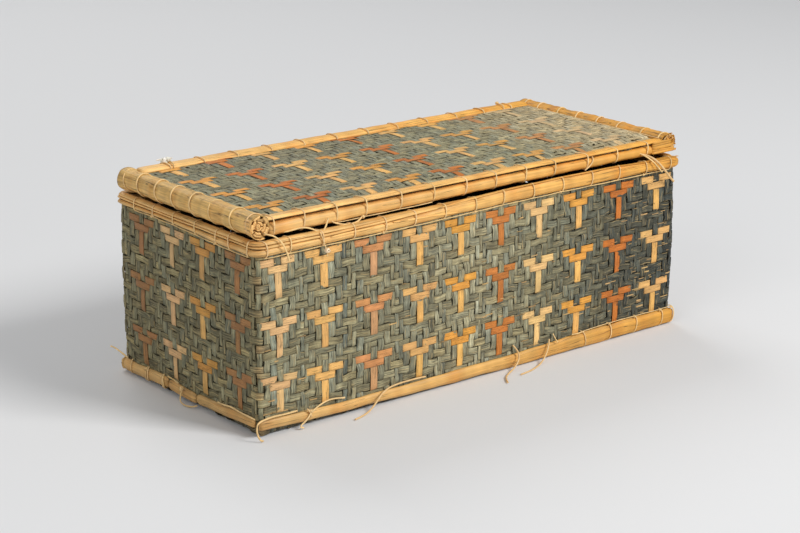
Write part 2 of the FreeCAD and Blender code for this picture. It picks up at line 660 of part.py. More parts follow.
def thread_solid(points, facings):
    """A flat thread along points, with one facing for each stretch between them."""
    steps = [(points[index + 1] - points[index]).normalize() for index in range(len(facings))]
    stretches = list(zip(steps, facings))
    rings = [thread_ring(points[0], stretches[:1])]
    for index in range(1, len(facings)):
        rings.append(thread_ring(points[index], stretches[index - 1:index + 1]))
    rings.append(thread_ring(points[-1], stretches[-1:]))
    corners = [rings[0], rings[-1]]
    for ring, following in zip(rings, rings[1:]):
        for side in range(4):
            other = (side + 1) % 4
            corners.append([ring[side], ring[other], following[other]])
            corners.append([ring[side], following[other], following[side]])
    faces = [Part.Face(Part.makePolygon(outline + outline[:1])) for outline in corners]
    solid = Part.makeSolid(Part.Shell(faces))
    if solid.Volume < 0:
        solid.reverse()
    return solid


def least_gap(points, per_turn):
    """Least clear distance of a thread to its next turns, on points and between them."""
    samples = []
    for near, far in zip(points, points[1:]):
        samples += [near, (near + far) * 0.5]
    least = math.inf
    for index, point in enumerate(samples):
        for other in samples[index + per_turn:index + 5 * per_turn]:
            least = min(least, point.distanceToPoint(other))
    return least - size("thread_width")


def lash(label, belt, start, places, windings, origin, along, outward):
    """Wind one thread round a belt at each of the places, and run it on to the next."""
    points = []
    facings = []
    count = len(belt)
    for place in places:
        for step in range(count * windings + 1):
            across, up, facing = belt[(start + step) % count]
            forward = place + size("turn_slant") * step / count
            points.append(origin + outward * across + UP * up + along * forward)
            facings.append(outward * facing[0] + UP * facing[1])
        corner_facing = facings[-1] + facings[-2]
        facings[-1] = corner_facing.normalize()
    facings.pop()
    print(f"{label}: {len(places) * windings} turns, {len(points)} points,",
          f"least gap to itself {least_gap(points, count):.2f} mm")
    thread = doc.addObject("Part::Feature", label)
    thread.Shape = thread_solid(points, facings)
    thread.Placement = FreeCAD.Placement()
    keep(thread, label)


def spread(low, high, pitch):
    """Evenly pitched places between low and high, centred in what room they have."""
    room = high - low - size("turn_slant")
    count = int(room / pitch) + 1
    lead = (room - (count - 1) * pitch) / 2
    return [low + lead + pitch * index for index in range(count)]


def reed_flats(reed, across, up, outward_sign, angles):
    """Flats on a reed whose flat back has its middle at across, up."""
    inset = (size(reed + "_thickness") - size(reed + "_radius")) * outward_sign
    reach = size(reed + "_radius") + size("thread_line")
    return [(across + inset, up, reach, angle) for angle in angles]


line = size("thread_line")
seat = size("seat_gap")
mat = size("mat_thickness")

top_middle = size("top_reed_back") + size("top_reed_thickness") - size("top_reed_radius")
top_reach = size("top_reed_radius") + line
rim_belt = belt_round(
    reed_flats("rim_reed", seat, size("rim_reed_middle"), 1, (-50, 0))
    + [(-mat / 2, top_middle, top_reach, angle) for angle in (55, 90, 125)]
    + reed_flats("inner_reed", -mat - seat, size("rim_reed_middle"), -1, (180, 230))
    + [(0, size("rim_reed_foot"), line, 270)]
)
cane_top = size("base_lift") + size("base_cane_width")
base_belt = belt_round(
    reed_flats("base_cane", seat, size("cane_middle"), 1, (-40, 0, 40))
    + [(0, cane_top, line, 90), (-mat, 0, line, 180), (0, size("base_lift"), line, 270)]
)

half_length = size("basket_length") / 2
half_x = size("wall_half_length")
half_y = size("wall_half_depth")
margin = size("wrap_margin")
side_room = half_y - margin
sides = [
    ("front", FRONT, Vector(0, -half_y, 0), half_x - margin, "rim_wrap_pitch"),
    ("back", BACK, Vector(0, half_y, 0), half_x - margin, "rim_wrap_pitch"),
    ("left", LEFT, Vector(-half_x, 0, 0), side_room, "side_wrap_pitch"),
    ("right", RIGHT, Vector(half_x, 0, 0), side_room, "side_wrap_pitch"),
]
for side, outward, origin, room, pitch in sides:
    along = UP.cross(outward)
    turns = spread(-room, room, size(pitch))
    lash(f"rim_lashing_{side}", rim_belt, 7, turns, 1, origin, along, outward)
    turns = spread(-room, room, size("base_wrap_pitch"))
    if side == "front":
        turns = spread(half_length - size("front_sound_run"), room, size("base_wrap_pitch"))
    if side == "left":
        turns = spread(-room, -size("left_sound_start"), size("left_wrap_pitch"))
    lash(f"base_lashing_{side}", base_belt, 2, turns, 1, origin, along, outward)

edge_middle = size("edge_reed_back") - size("edge_reed_thickness") + size("edge_reed_radius")
edge_reach = size("edge_reed_radius") + line
strip_middle = size("strip_foot") + size("strip_thickness") - size("strip_radius")
strip_reach = size("strip_radius") + line
strip_angles = (65, 90, 115)
edge_belt = belt_round(
    [(0, edge_middle, edge_reach, 0)]
    + [(0, strip_middle, strip_reach, angle) for angle in strip_angles]
    + [(0, edge_middle, edge_reach, angle) for angle in (180, 225, 270, 315)]
)
bundle_belt = belt_round([(0, 0, size("bundle_radius") + line, 30 * step) for step in range(12)])

edge_room = size("edge_run_length") / 2 - margin
bundle_room = size("bundle_length") / 2 - size("bundle_wrap_margin")
edge_y = size("edge_line_y")
axis_x = size("bundle_axis_x")
axis_z = size("bundle_axis_z")
for side, outward in (("front", FRONT), ("back", BACK)):
    turns = spread(-edge_room, edge_room, size("lid_wrap_pitch"))
    origin, along = outward * edge_y, UP.cross(outward)
    lash(f"lid_lashing_{side}", edge_belt, 6, turns, 1, origin, along, outward)
for side, outward in (("left", LEFT), ("right", RIGHT)):
    turns = spread(-bundle_room, bundle_room, size("bundle_wrap_pitch"))
    origin, along = outward * axis_x + UP * axis_z, UP.cross(outward)
    lash(f"lid_lashing_{side}", bundle_belt, 4, turns, 1, origin, along, outward)

# Hinge: near each end of the back, three turns of cord tie the lid's back edge to the rim

tie_inner = size("tie_line_y")
hole_level = size("rim_reed_foot") - size("tie_drop")
outer_reach = size("rim_reed_radius") + line + size("thread_width")
rim_middle_y = half_y + seat + size("rim_reed_thickness") - size("rim_reed_radius")
strip_edge = edge_y + size("strip_width") / 2
tie_belt = belt_round(
    [(0, 0, size("basket_depth") / 2 - size("thread_thickness") / 2, 0)]
    + [(strip_edge, size("strip_foot"), line, size("tie_outer_lean"))]
    + [(edge_y, strip_middle, strip_reach, angle) for angle in strip_angles]
    + [(0, 0, -tie_inner, 180)]
    + [(edge_y, edge_middle, edge_reach, 180 + size("tie_inner_lean"))]
    + [(0, hole_level, 0, 270)]
    + [(rim_middle_y, size("rim_reed_middle"), outer_reach, 315)]
)
tie_turns = 3
for side, sign in (("left", 1), ("right", -1)):
    place = sign * size("tie_offset") - tie_turns / 2 * size("turn_slant")
    lash(f"hinge_tie_{side}", tie_belt, 8, [place], tie_turns, Vector(), UP.cross(BACK), BACK)


# Loose cords, each along its route: straight runs joined by tangent arcs

def loose_cord(label, diameter, points):
    """A cord with six flats. Each arc takes as much of its shorter run as bend_share."""
    bend_share = 0.45
    edges = []
    radii = []
    start = points[0]
    for before, point, after in zip(points, points[1:], points[2:]):
        came, goes = point - before, after - point
        turn = came.getAngle(goes)
        back_off = bend_share * min(came.Length, goes.Length)
        radii.append(back_off / math.tan(turn / 2))
        enter = point - came.normalize() * back_off
        leave = point + goes.normalize() * back_off
        inward = ((enter + leave) * 0.5 - point).normalize()
        middle = point + inward * (radii[-1] / math.cos(turn / 2) - radii[-1])
        edges.append(Part.LineSegment(start, enter).toShape())
        edges.append(Part.Arc(enter, middle, leave).toShape())
        start = leave
    edges.append(Part.LineSegment(start, points[-1]).toShape())
    path = Part.Wire(edges)
    first_step = (points[1] - points[0]).normalize()
    side = first_step.cross(UP).normalize()
    top = side.cross(first_step)
    rim = []
    for index in range(7):
        turn = math.radians(60 * index)
        rim.append(points[0] + (side * math.cos(turn) + top * math.sin(turn)) * (diameter / 2))
    tube = path.makePipeShell([Part.makePolygon(rim)], True, False)
    swept = tube.Volume / (Part.Face(Part.makePolygon(rim)).Area * path.Length)
    print(f"{label}: {path.Length:.1f} mm long, least bend radius {min(radii):.1f} mm,",
          f"volume over section times length {swept:.3f}")
    cord = doc.addObject("Part::Feature", label)
    cord.Shape = tube
    cord.Placement = FreeCAD.Placement()
    keep(cord, label)


loose_cord("closing_tie_cord", size("closing_cord_diameter"), [
    Vector(152.5, -73.3, 127.0), Vector(155.0, -77.0, 126.2), Vector(158.6, -80.6, 124.4),
    Vector(163.2, -82.3, 120.4), Vector(168.0, -82.8, 115.6), Vector(172.2, -82.9, 110.6),
    Vector(176.6, -82.7, 106.2),
])
loose_cord("loose_thread_near", size("loose_thread_diameter"), [
    Vector(-49.0, -79.0, 11.2), Vector(-63.0, -79.3, 11.9), Vector(-77.0, -79.5, 11.4),
    Vector(-86.0, -81.9, 10.0), Vector(-91.5, -83.3, 6.0), Vector(-97.0, -84.5, 2.0),
    Vector(-105.0, -87.5, 0.7), Vector(-114.0, -89.7, 0.8),
])
loose_cord("loose_thread_middle", size("loose_thread_diameter"), [
    Vector(26.2, -79.0, 16.0), Vector(30.2, -80.7, 11.4), Vector(28.3, -83.2, 6.0),
    Vector(22.4, -84.5, 1.8), Vector(14.2, -87.7, 0.7), Vector(7.8, -92.7, 0.7),
    Vector(4.0, -99.3, 0.8),
])
loose_cord("loose_thread_right", size("loose_thread_diameter"), [
    Vector(59.2, -79.1, 13.2), Vector(56.6, -81.5, 10.0), Vector(52.4, -83.6, 4.8),
    Vector(46.4, -85.8, 1.2), Vector(38.0, -89.5, 0.7), Vector(29.4, -92.3, 0.7),
    Vector(20.8, -93.4, 0.8),
])

doc.recompute()
faults = []
for thing in doc.Objects:
    if "Invalid" in thing.State or "Error" in thing.State:
        faults.append(f"{thing.Label}: {thing.State}")
for piece in pieces:
    if piece.Shape.isNull() or not piece.Shape.isValid():
        faults.append(piece.Label + ": bad shape")
if faults:
    raise RuntimeError("; ".join(faults))
for piece in pieces:
    piece.Shape.exportStep(f"parts/{piece.Label}.step")
print(f"{len(pieces)} pieces")
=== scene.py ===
import math

import bpy
import numpy as np
from mathutils import Matrix, Vector


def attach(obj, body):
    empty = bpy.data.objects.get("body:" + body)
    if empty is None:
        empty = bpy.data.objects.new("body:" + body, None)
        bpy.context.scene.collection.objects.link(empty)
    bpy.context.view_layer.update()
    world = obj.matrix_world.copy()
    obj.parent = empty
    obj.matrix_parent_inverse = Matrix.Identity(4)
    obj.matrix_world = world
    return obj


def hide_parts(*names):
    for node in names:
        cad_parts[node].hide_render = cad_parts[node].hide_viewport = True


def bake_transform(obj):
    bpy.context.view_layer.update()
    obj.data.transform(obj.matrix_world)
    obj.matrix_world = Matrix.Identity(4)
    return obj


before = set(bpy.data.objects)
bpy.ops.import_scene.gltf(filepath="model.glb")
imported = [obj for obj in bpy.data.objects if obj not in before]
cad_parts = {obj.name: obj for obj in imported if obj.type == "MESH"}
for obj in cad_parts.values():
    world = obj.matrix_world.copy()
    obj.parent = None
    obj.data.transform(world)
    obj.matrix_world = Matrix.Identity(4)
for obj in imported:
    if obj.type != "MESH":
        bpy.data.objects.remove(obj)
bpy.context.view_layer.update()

# The wall mat: one band of dyed bamboo splints, woven over and under by hand and
# folded round the four corners. Its weave leaves places where bright splints are
# slipped in later. Its lower hem folds in under the floor of the basket.
# Lengths here and below are in millimetres.
MM = 0.001
wall_half_length, wall_half_depth, wall_bend = 176.02, 76.52, 2.4
hem_height, hem_bend = 4.15, 2.4
splint_thickness, splint_rise = 0.52, 0.62
splint_section = np.array([(-.5, 0), (-.43, .42), (0, .5), (.43, .42),
                           (.5, 0), (.43, -.42), (0, -.5), (-.43, -.42)])
# Painted shade across a splint's section: its colour darker at the edges, where shade falls between
# splints.
splint_edge_shade = np.array([.5, .87, 1.02, .87, .5, .87, 1, .87])[None, :, None]
# One repeat of the weave, eight rows of eight: V where the upright splint is on
# top, H where the level one is. The bright splints lie on row 0, 1 and 2 to 4.
repeat = ["VHHVVVHH", "HHVVHVVH", "VVVHHHVV", "VVHHVHHV",
          "VHHVVVHH", "HHVVHVVH", "HVVHHHVV", "VVHHVHHV"]
upright_on_top = np.array([[1 if c == "V" else -1 for c in row] for row in repeat])
column_edges = np.array([-.58, .58, 1.72, 2.9, 3.65, 4.35, 5.1, 6.28]) / 8
row_edges = np.array([-2.35, 2.35, 7.15, 12.35, 17.55, 22.75, 27.1, 31.45]) / 37.2


def tint(red, green, blue):
    """A colour as it is seen, 0 to 255, as the light it sends back."""
    seen = np.array([red, green, blue], float) / 255
    return np.where(seen < .04045, seen / 12.92, ((seen + .055) / 1.055) ** 2.4)


def wander(run, rng, reach, wave):
    """A slow drift of about reach either way, over waves of about that length."""
    phases = rng.uniform(0, 2 * math.pi, 3)
    return reach / 1.8 * sum(np.sin(run * 2 * math.pi / (wave * share) + phase)
                             for share, phase in zip((1, .57, .31), phases))


def sweep(line, up, width, thick, section, tone, grain_at=0.0, closed=False, creases=(), roll=0.0):
    """A section of shares (across, above) carried along a line, with its grain in mm."""
    line = np.asarray(line, float)
    count, corners = len(line), section.shape[-2]
    up = np.broadcast_to(np.asarray(up, float), line.shape)
    ahead = np.roll(line, -1, 0) - np.roll(line, 1, 0) if closed else np.gradient(line, axis=0)
    ahead = ahead / np.linalg.norm(ahead, axis=1, keepdims=True)
    side = np.cross(ahead, up)
    side /= np.linalg.norm(side, axis=1, keepdims=True)
    top = np.cross(side, ahead)
    roll = np.broadcast_to(roll, count)[:, None]
    side, top = side * np.cos(roll) - top * np.sin(roll), top * np.cos(roll) + side * np.sin(roll)
    section = np.broadcast_to(section, (count, corners, 2))
    across = section[..., :1] * np.broadcast_to(width, count)[:, None, None]
    above = section[..., 1:] * np.broadcast_to(thick, count)[:, None, None]
    points = line[:, None] + side[:, None] * across + top[:, None] * above
    step = np.linalg.norm(np.diff(line, axis=0), axis=1)
    run = np.concatenate([[0], np.cumsum(step)])
    edge = np.concatenate([[0], np.cumsum(np.linalg.norm(np.diff(np.concatenate(
        [across[0], above[0]], -1), axis=0), axis=1))])
    grain = np.stack(np.broadcast_arrays(run[:, None] + grain_at * 7.3,
                                         edge[None] + grain_at * 31.7), -1)
    first = np.arange(count if closed else count - 1)[:, None] * corners
    following = (first + corners) % (count * corners)
    here, beside = np.arange(corners), np.roll(np.arange(corners), -1)
    quads = np.stack([first + here, first + beside, following + beside, following + here], -1)
    quads = [quads.reshape(-1, 4)]
    if not closed:
        share = np.arange(corners // 2 - 1)
        cap = np.stack([share, share + 1, corners - 2 - share, corners - 1 - share], -1)
        quads += [cap[:, ::-1], cap + (count - 1) * corners]
    creased = np.zeros((count, corners), bool)
    creased[:, list(creases)] = True
    tone = np.asarray(tone, float)
    tone = np.broadcast_to(tone[:, None] if tone.ndim == 2 else tone, (count, corners, 3))
    return (points.reshape(-1, 3), np.concatenate(quads), grain.reshape(-1, 2),
            tone.reshape(-1, 3), creased.reshape(-1))


def make_piece(name, parts, material, body, node):
    """One piece of the basket from its swept parts, on its body where it rides on one."""
    starts = np.cumsum([0] + [len(part[0]) for part in parts[:-1]])
    points = np.concatenate([part[0] for part in parts]) * MM
    quads = np.concatenate([part[1] + start for part, start in zip(parts, starts)])
    grain, tone, creased = (np.concatenate([part[i] for part in parts]) for i in (2, 3, 4))
    mesh = bpy.data.meshes.new(name)
    mesh.vertices.add(len(points))
    mesh.vertices.foreach_set("co", points.astype(np.float32).ravel())
    mesh.loops.add(quads.size)
    mesh.loops.foreach_set("vertex_index", quads.ravel().astype(np.int32))
    mesh.polygons.add(len(quads))
    mesh.polygons.foreach_set("loop_start", np.arange(0, quads.size, 4, dtype=np.int32))
    mesh.update(calc_edges=True)
    mesh.shade_smooth()
    ends = np.zeros(len(mesh.edges) * 2, np.int32)
    mesh.edges.foreach_get("vertices", ends)
    sharp = creased[ends.reshape(-1, 2)].all(1)
    mesh.attributes.new("sharp_edge", "BOOLEAN", "EDGE").data.foreach_set("value", sharp)
    mesh.uv_layers.new(name="grain").data.foreach_set(
        "uv", grain[quads.ravel()].astype(np.float32).ravel())
    shade = np.concatenate([tone, np.ones((len(tone), 1))], 1).astype(np.float32)
    mesh.color_attributes.new("tone", "FLOAT_COLOR", "POINT").data.foreach_set(
        "color", shade.ravel())
    mesh.validate()
    mesh.materials.append(material)
    piece = bpy.data.objects.new(name, mesh)
    bpy.context.scene.collection.objects.link(piece)
    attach(piece, body) if body else piece
    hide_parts(node)
    return piece


def feed(tree, node, sockets):
    """Give a shader node's sockets these values, or links from other nodes' outputs."""
    for socket, value in sockets.items():
        if isinstance(value, bpy.types.NodeSocket):
            tree.links.new(value, node.inputs[socket])
        else:
            node.inputs[socket].default_value = value


def add_node(tree, kind, sockets, **settings):
    """A new shader node with these settings, its sockets fed."""
    node = tree.nodes.new("ShaderNode" + kind)
    for setting, value in settings.items():
        setattr(node, setting, value)
    feed(tree, node, sockets)
    return node


def fibrous(name, along, across, depth, worn, worn_from, split, roughness, bump):
    """A plant fibre's finish: each piece's own tone, streaked, worn and split along its grain."""
    material = bpy.data.materials.new(name)
    material.use_nodes = True
    tree = material.node_tree
    grain = add_node(tree, "UVMap", {}, uv_map="grain").outputs["UV"]

    def streaks(length_scale, width_scale, detail, shift=0.0):
        stretch = add_node(tree, "Mapping", {"Vector": grain,
                                             "Scale": (length_scale, width_scale, 1),
                                             "Location": (shift, shift * 1.7, shift)})
        return add_node(tree, "TexNoise", {"Vector": stretch.outputs["Vector"], "Scale": 1,
                                           "Detail": detail, "Roughness": .62}).outputs["Fac"]

    def ranged(source, low, high, out_low, out_high):
        return add_node(tree, "MapRange", {"Value": source, "From Min": low, "From Max": high,
                                           "To Min": out_low, "To Max": out_high}).outputs["Result"]

    def reckoned(operation, *terms):
        return add_node(tree, "Math", dict(enumerate(terms)), operation=operation).outputs[0]

    fibres = streaks(along, across, 5)
    hairs = streaks(along * 2.2, across * 3.3, 3, 5.1)
    bands = streaks(along * .6, across * .22, 2, 9.3)
    lighter = reckoned("MULTIPLY", ranged(fibres, .37, .63, 1 - depth, 1 + depth),
                       ranged(hairs, .35, .65, 1 - depth * .5, 1 + depth * .5))
    lighter = reckoned("MULTIPLY", lighter, ranged(bands, .3, .7, 1 - depth * .7, 1 + depth * .7))
    if split:
        crack = reckoned("SUBTRACT", streaks(along * .5, across * .55, 2, 3.7), .56)
        lighter = reckoned("MULTIPLY", lighter,
                           ranged(reckoned("ABSOLUTE", crack), split * .35, split, .38, 1))
    tone = add_node(tree, "Attribute", {}, attribute_name="tone").outputs["Color"]
    streaked = add_node(tree, "VectorMath", {0: tone, "Scale": lighter}, operation="SCALE")
    wear = ranged(streaks(along * 1.6, across * .8, 3, 7.9), worn_from, worn_from + .1, 0, .7)
    rubbed = add_node(tree, "Mix", {"Factor": wear, "A": streaked.outputs[0],
                                    "B": (*tint(*worn), 1)}, data_type="RGBA")
    relief = add_node(tree, "Bump", {"Strength": bump, "Distance": .0005, "Height": lighter})
    feed(tree, tree.nodes["Principled BSDF"], {
        "Specular IOR Level": .3, "Base Color": rubbed.outputs["Result"],
        "Roughness": ranged(fibres, .3, .7, roughness - .1, roughness + .12),
        "Normal": relief.outputs["Normal"]})
    return material


def graded(at, places, colours):
    """A colour for each place along, between the colours named for some of them."""
    seen = [tint(*colour) for colour in colours]
    return np.stack([np.interp(at, places, [colour[i] for colour in seen]) for i in range(3)], 1)


def shaded(tone, lift, shade_strength):
    """Painted shade along a splint's edges and where it dips under another, where shade falls
    between splints.
    """
    sunk_shade = 1 + shade_strength * (np.interp(lift, [-.5, .05, .45], [.6, .86, 1.03]) - 1)
    return (tone * sunk_shade[:, None])[:, None] * (1 + shade_strength * (splint_edge_shade - 1))


def weave(columns, rows, on_top, place, tone, rng, closed=False, shade_strength=1.0):
    """The upright and the level splints between these column and row edges."""
    middle, breadth = (columns[1:] + columns[:-1]) / 2, np.diff(columns)
    level, tall = (rows[1:] + rows[:-1]) / 2, np.abs(np.diff(rows))
    way = np.sign(rows[-1] - rows[0])
    third, crown = np.array([-.37, 0, .37]), np.array([0, .05, 0])
    drift, ripple, fill = .09, .06, .985

    def splint(spot, out, lift, run, room, spread, upright, grain_at, closed=False):
        wide = room * (fill + spread * rng.uniform(-1, 1) + wander(run, rng, .03, 27))
        colour = shaded(tone(spot, out, rng, upright), lift, shade_strength)
        return sweep(spot, out, wide, splint_thickness, splint_section, colour, grain_at,
                     closed=closed, creases=(1, 3, 5, 7), roll=wander(run, rng, .08, 17))

    down = (level[:, None] + way * third * tall[:, None]).ravel()
    down = np.concatenate([[rows[0]], down, [rows[-1]]])
    uprights, levels = [], []
    for i in range(len(middle)):
        lift = (on_top[:, i, None] * (splint_rise + crown)).ravel()
        lift = np.concatenate([lift[:1], lift, lift[-1:]]) + wander(down, rng, ripple, 19)
        across = middle[i] + wander(down, rng, drift * breadth[i], 31)
        spot, out = place(across, down, lift)
        uprights.append(splint(spot, out, lift, down, breadth[i], .015, True, i))
    over = (middle[:, None] + third * breadth[:, None]).ravel()
    if not closed:
        over = np.concatenate([[columns[0]], over, [columns[-1]]])
    for j in range(len(level)):
        lift = (-on_top[j, :, None] * (splint_rise + crown)).ravel()
        if not closed:
            lift = np.concatenate([lift[:1], lift, lift[-1:]])
        at = level[j] + wander(over, rng, drift * tall[j], 37)
        spot, out = place(over, at, lift + wander(over, rng, ripple, 19))
        levels.append(splint(spot, out, lift, over, tall[j], .012, False, 400 + j, closed))
    return uprights, levels


# The mat's run starts at the near corner and goes on along the front, the right, the
# back and the left side, each with its bend. The walls bow out, the right one most,
# and the near corner stands off the table.
near_edge, side_edge = wall_half_length - wall_bend, wall_half_depth - wall_bend
turn_run, long_run, short_run = math.pi / 2 * wall_bend, 2 * near_edge, 2 * side_edge
starts = np.cumsum([0, long_run, turn_run, short_run, turn_run, long_run, turn_run, short_run])
around = 4 * (wall_half_length + wall_half_depth - 2 * wall_bend) + 2 * math.pi * wall_bend
wall_bulge, right_bulge, corner_rise = .9, 1.9, 3.0


def round_the_box(run):
    """A point on the mat's middle line, and the way out, this far past the near corner."""
    run = np.asarray(run, float) % (starts[-1] + turn_run)
    part = np.searchsorted(starts, run, side="right") - 1
    into, face = run - starts[part], part // 2
    turned = face * math.pi / 2 + np.where(part % 2, into / wall_bend, 0)
    out = np.stack([np.sin(turned), -np.cos(turned)], -1)
    ahead = np.stack([np.cos(turned), np.sin(turned)], -1)
    centre = np.array([(near_edge, -side_edge), (near_edge, side_edge),
                       (-near_edge, side_edge), (-near_edge, -side_edge)])
    to_go = np.where(part % 2, 0, np.where(face % 2, short_run, long_run) - into)
    return centre[face] + wall_bend * out - ahead * to_go[:, None], out


def on_the_wall(run, height, lift):
    """A place on the mat, its hem folded in below, and the way out of it."""
    spot, out = round_the_box(run)
    height, lift = np.broadcast_to(height, len(spot)), np.broadcast_to(lift, len(spot))
    bulge = np.where(spot[:, 0] > wall_half_length - .5, right_bulge, wall_bulge)
    lift = lift + bulge * np.sin(math.pi * np.clip((height - 8) / 100, 0, 1)) ** .6
    from_corner = np.minimum(run % around, around - run % around)
    raised = corner_rise * np.exp(-(np.asarray(from_corner) / 34) ** 2)
    height = height + raised * np.clip(1 - height / 70, 0, 1)
    folded = np.clip((hem_height - height) / hem_bend, 0, math.pi / 2)
    past = np.maximum(hem_height - hem_bend * math.pi / 2 - height, 0)
    inward = hem_bend * (1 - np.cos(folded)) + past
    rise = np.maximum(height, hem_height) - hem_bend * np.sin(folded)
    way = np.concatenate([out * np.cos(folded)[:, None], -np.sin(folded)[:, None]], 1)
    flat = spot - out * inward[:, None]
    return np.concatenate([flat, rise[:, None]], 1) + way * lift[:, None], way


# Where the T shapes stand along each side.
front_places = [-162.0, -128.1, -90.0, -53.1, -19.2, 15.0, 48.5, 84.6, 122.1, 158.6]
left_places = [51.0, 15.0, -19.0, -57.3]
side_places = [-54.9, -18.3, 18.3, 54.9]
right_start, back_start = long_run + turn_run, long_run + short_run + 2 * turn_run
left_start = back_start + long_run + turn_run
motif_runs = np.array(
    [x + near_edge for x in front_places]
    + [right_start + y + short_run / 2 for y in side_places]
    + [back_start + near_edge - x for x in np.linspace(160.6, -160.6, 10)]
    + [left_start + short_run / 2 - y for y in left_places])
motif_count = len(motif_runs)
all_runs = np.concatenate([motif_runs, [motif_runs[0] + around]])
wall_columns = np.interp(
    (np.arange(motif_count)[:, None] + column_edges).ravel(), np.arange(-1, motif_count + 1),
    np.concatenate([[motif_runs[-1] - around], all_runs]))
wall_columns = np.concatenate([wall_columns, [wall_columns[0] + around]])
motif_heights, motif_pitches = [109.0, 70.7, 34.0], [38.3, 36.7, 36.7]
top_pitch, wall_top, hem_end = 37.2, 120.2, -2.2
wall_rows = np.concatenate(
    [motif_heights[0] + top_pitch - top_pitch * row_edges[6:]]
    + [height - pitch * row_edges for height, pitch in zip(motif_heights, motif_pitches)]
    + [[hem_end]])
wall_rows[0] = wall_top
wall_on_top = np.array([[upright_on_top[(row + 6) % 8, column % 8]
                         for column in range(len(wall_columns) - 1)]
                        for row in range(len(wall_rows) - 1)])


def wall_tone(spot, out, rng, upright):
    """Dyed splints, olive and slate, rubbed at the near corner, blackest at the right end, with
    painted shade on the left wall and at the foot.
    """
    x = spot[:, 0] * .9 - np.abs(spot[:, 1] + wall_half_depth) * .1
    tone = graded(x, [-175, -60, -10, 45, 110, 150, 178],
                  [(137, 130, 100), (142, 135, 106), (152, 144, 114), (130, 125, 99),
                   (85, 84, 70), (66, 68, 60), (57, 59, 53)])
    own = np.exp(rng.normal(0, .14))
    warmth = rng.normal(-.01, .04)
    cast = np.array([1 + warmth, 1, 1 - 1.7 * warmth])
    cast = cast * ((.94, .99, 1.06) if upright else (1.03, 1, .93))
    patches = np.exp(wander(spot.sum(1), rng, .15, 33) + wander(spot.sum(1), rng, .1, 9))
    from_corner = np.hypot(spot[:, 0] + 178, spot[:, 1] + 78.5)
    rubbed = (np.exp(-(from_corner / 5) ** 2) * rng.uniform(0, .75) * (not upright))[:, None]
    # Painted shade: the left wall darker and warmer, and the mat darker towards its foot, behind
    # and under the base canes.
    shade = np.where(spot[:, :1] < -wall_half_length + 1, (.88, .86, .8), 1.0)
    shade = shade * np.interp(spot[:, 2], [3.5, 9], [.4, 1])[:, None]
    tone = tone * shade * own * cast * patches[:, None]
    return tone * (1 - rubbed) + tint(178, 144, 96) * rubbed


rng = np.random.default_rng(7)
dyed = fibrous("dyed_bamboo_splint", .05, 1.3, .42, (178, 154, 106), .56, .03, .62, .4)
uprights, levels = weave(wall_columns, wall_rows, wall_on_top, on_the_wall, wall_tone, rng,
                         closed=True)
sides = {"front": range(0, 80), "right": range(80, 112), "back": range(112, 192),
         "left": range(192, 224)}
for side, columns in sides.items():
    make_piece("wall_uprights_" + side, [uprights[i] for i in columns], dyed, "box",
               "wall_mat")
half_way = len(levels) // 2
for part_name, some in (("upper", levels[:half_way]), ("lower", levels[half_way:])):
    make_piece("wall_levels_" + part_name, some, dyed, "box", "wall_mat")

# The bright splints: short slips of plain and of rust-dyed bamboo, pushed in over
# the dyed weave as T shapes: two bars, a cross bar below, and a stem. Their ends
# are tucked under the next upright.
bar_from, bar_to, cross_half, cross_drop, stem_top = 2.6, 14.3, 8.1, 4.75, 7.0
bar_half_wide, cross_half_wide, stem_half_wide, slip_thickness = 2.45, 2.5, 2.75, .3
hues = {"straw": (228, 184, 126), "peach": (236, 182, 106), "rose": (214, 148, 90),
        "tan": (226, 174, 106), "gold": (226, 158, 66), "rust": (200, 122, 52),
        "pale": (232, 190, 124), "deep": (198, 114, 40)}
stem_hues = {"rose": (212, 160, 110), "gold": (238, 182, 100), "tan": (230, 176, 98)}


def bright_slip(place, a, b, half_along, half_wide, upright, tone, rng, lift=1.0):
    """One slip lying on the weave, its two ends bent down into it."""
    share = np.array([-1, -.97, -.86, -.5, 0, .5, .86, .97, 1])
    dip = np.array([.62, .34, .08, 0, -.04, 0, .08, .34, .62])
    along = share * half_along * rng.uniform(.96, 1.04)
    skew = along * rng.normal(0, .012)
    across = (a + skew, b + along) if upright else (a + along, b + skew)
    spot, out = place(across[0], across[1], lift - dip)
    shade = tint(*tone) * rng.uniform(.9, 1.06) * np.array([1, rng.uniform(.96, 1.03), 1])
    # Painted shade: the slip darker where its ends dip into the weave and along its edges, with
    # slow changes of its own tone.
    streaks_and_shade = (1 + wander(along, rng, .09, 14)) * np.interp(dip, [0, .62], [1, .5])
    wide = 2 * half_wide * rng.uniform(.94, 1.03) * (1 + wander(along, rng, .015, 9))
    shade = (shade * streaks_and_shade[:, None])[:, None] * (.4 + .6 * splint_edge_shade)
    return sweep(spot, out, wide, slip_thickness, splint_section, shade, rng.uniform(0, 900),
                 creases=(1, 3, 5, 7), roll=rng.normal(0, .05))


def bright_motif(place, a, b, wide, tall, hue, rng, worn, reach=22.8):
    """One T: its bars at b, its stem running down from them, both worn to a duller colour."""
    dull, share = worn
    tone, stem = (np.array(c, float) * (1 - share) + dull * share
                  for c in (hues[hue], stem_hues.get(hue, hues[hue])))
    slips = []
    for way in (-1, 1):
        slips.append(bright_slip(place, a + way * (bar_from + bar_to) / 2 * wide, b,
                                 (bar_to - bar_from) / 2 * wide, bar_half_wide * tall, False,
                                 tone, rng))
    slips.append(bright_slip(place, a, b - cross_drop * tall, cross_half * wide,
                             cross_half_wide * tall, False, tone, rng, 1.04))
    top, bottom = stem_top * tall, reach * tall
    slips.append(bright_slip(place, a, b - (top + bottom) / 2, (bottom - top) / 2,
                             stem_half_wide * wide, True, stem, rng))
    return slips


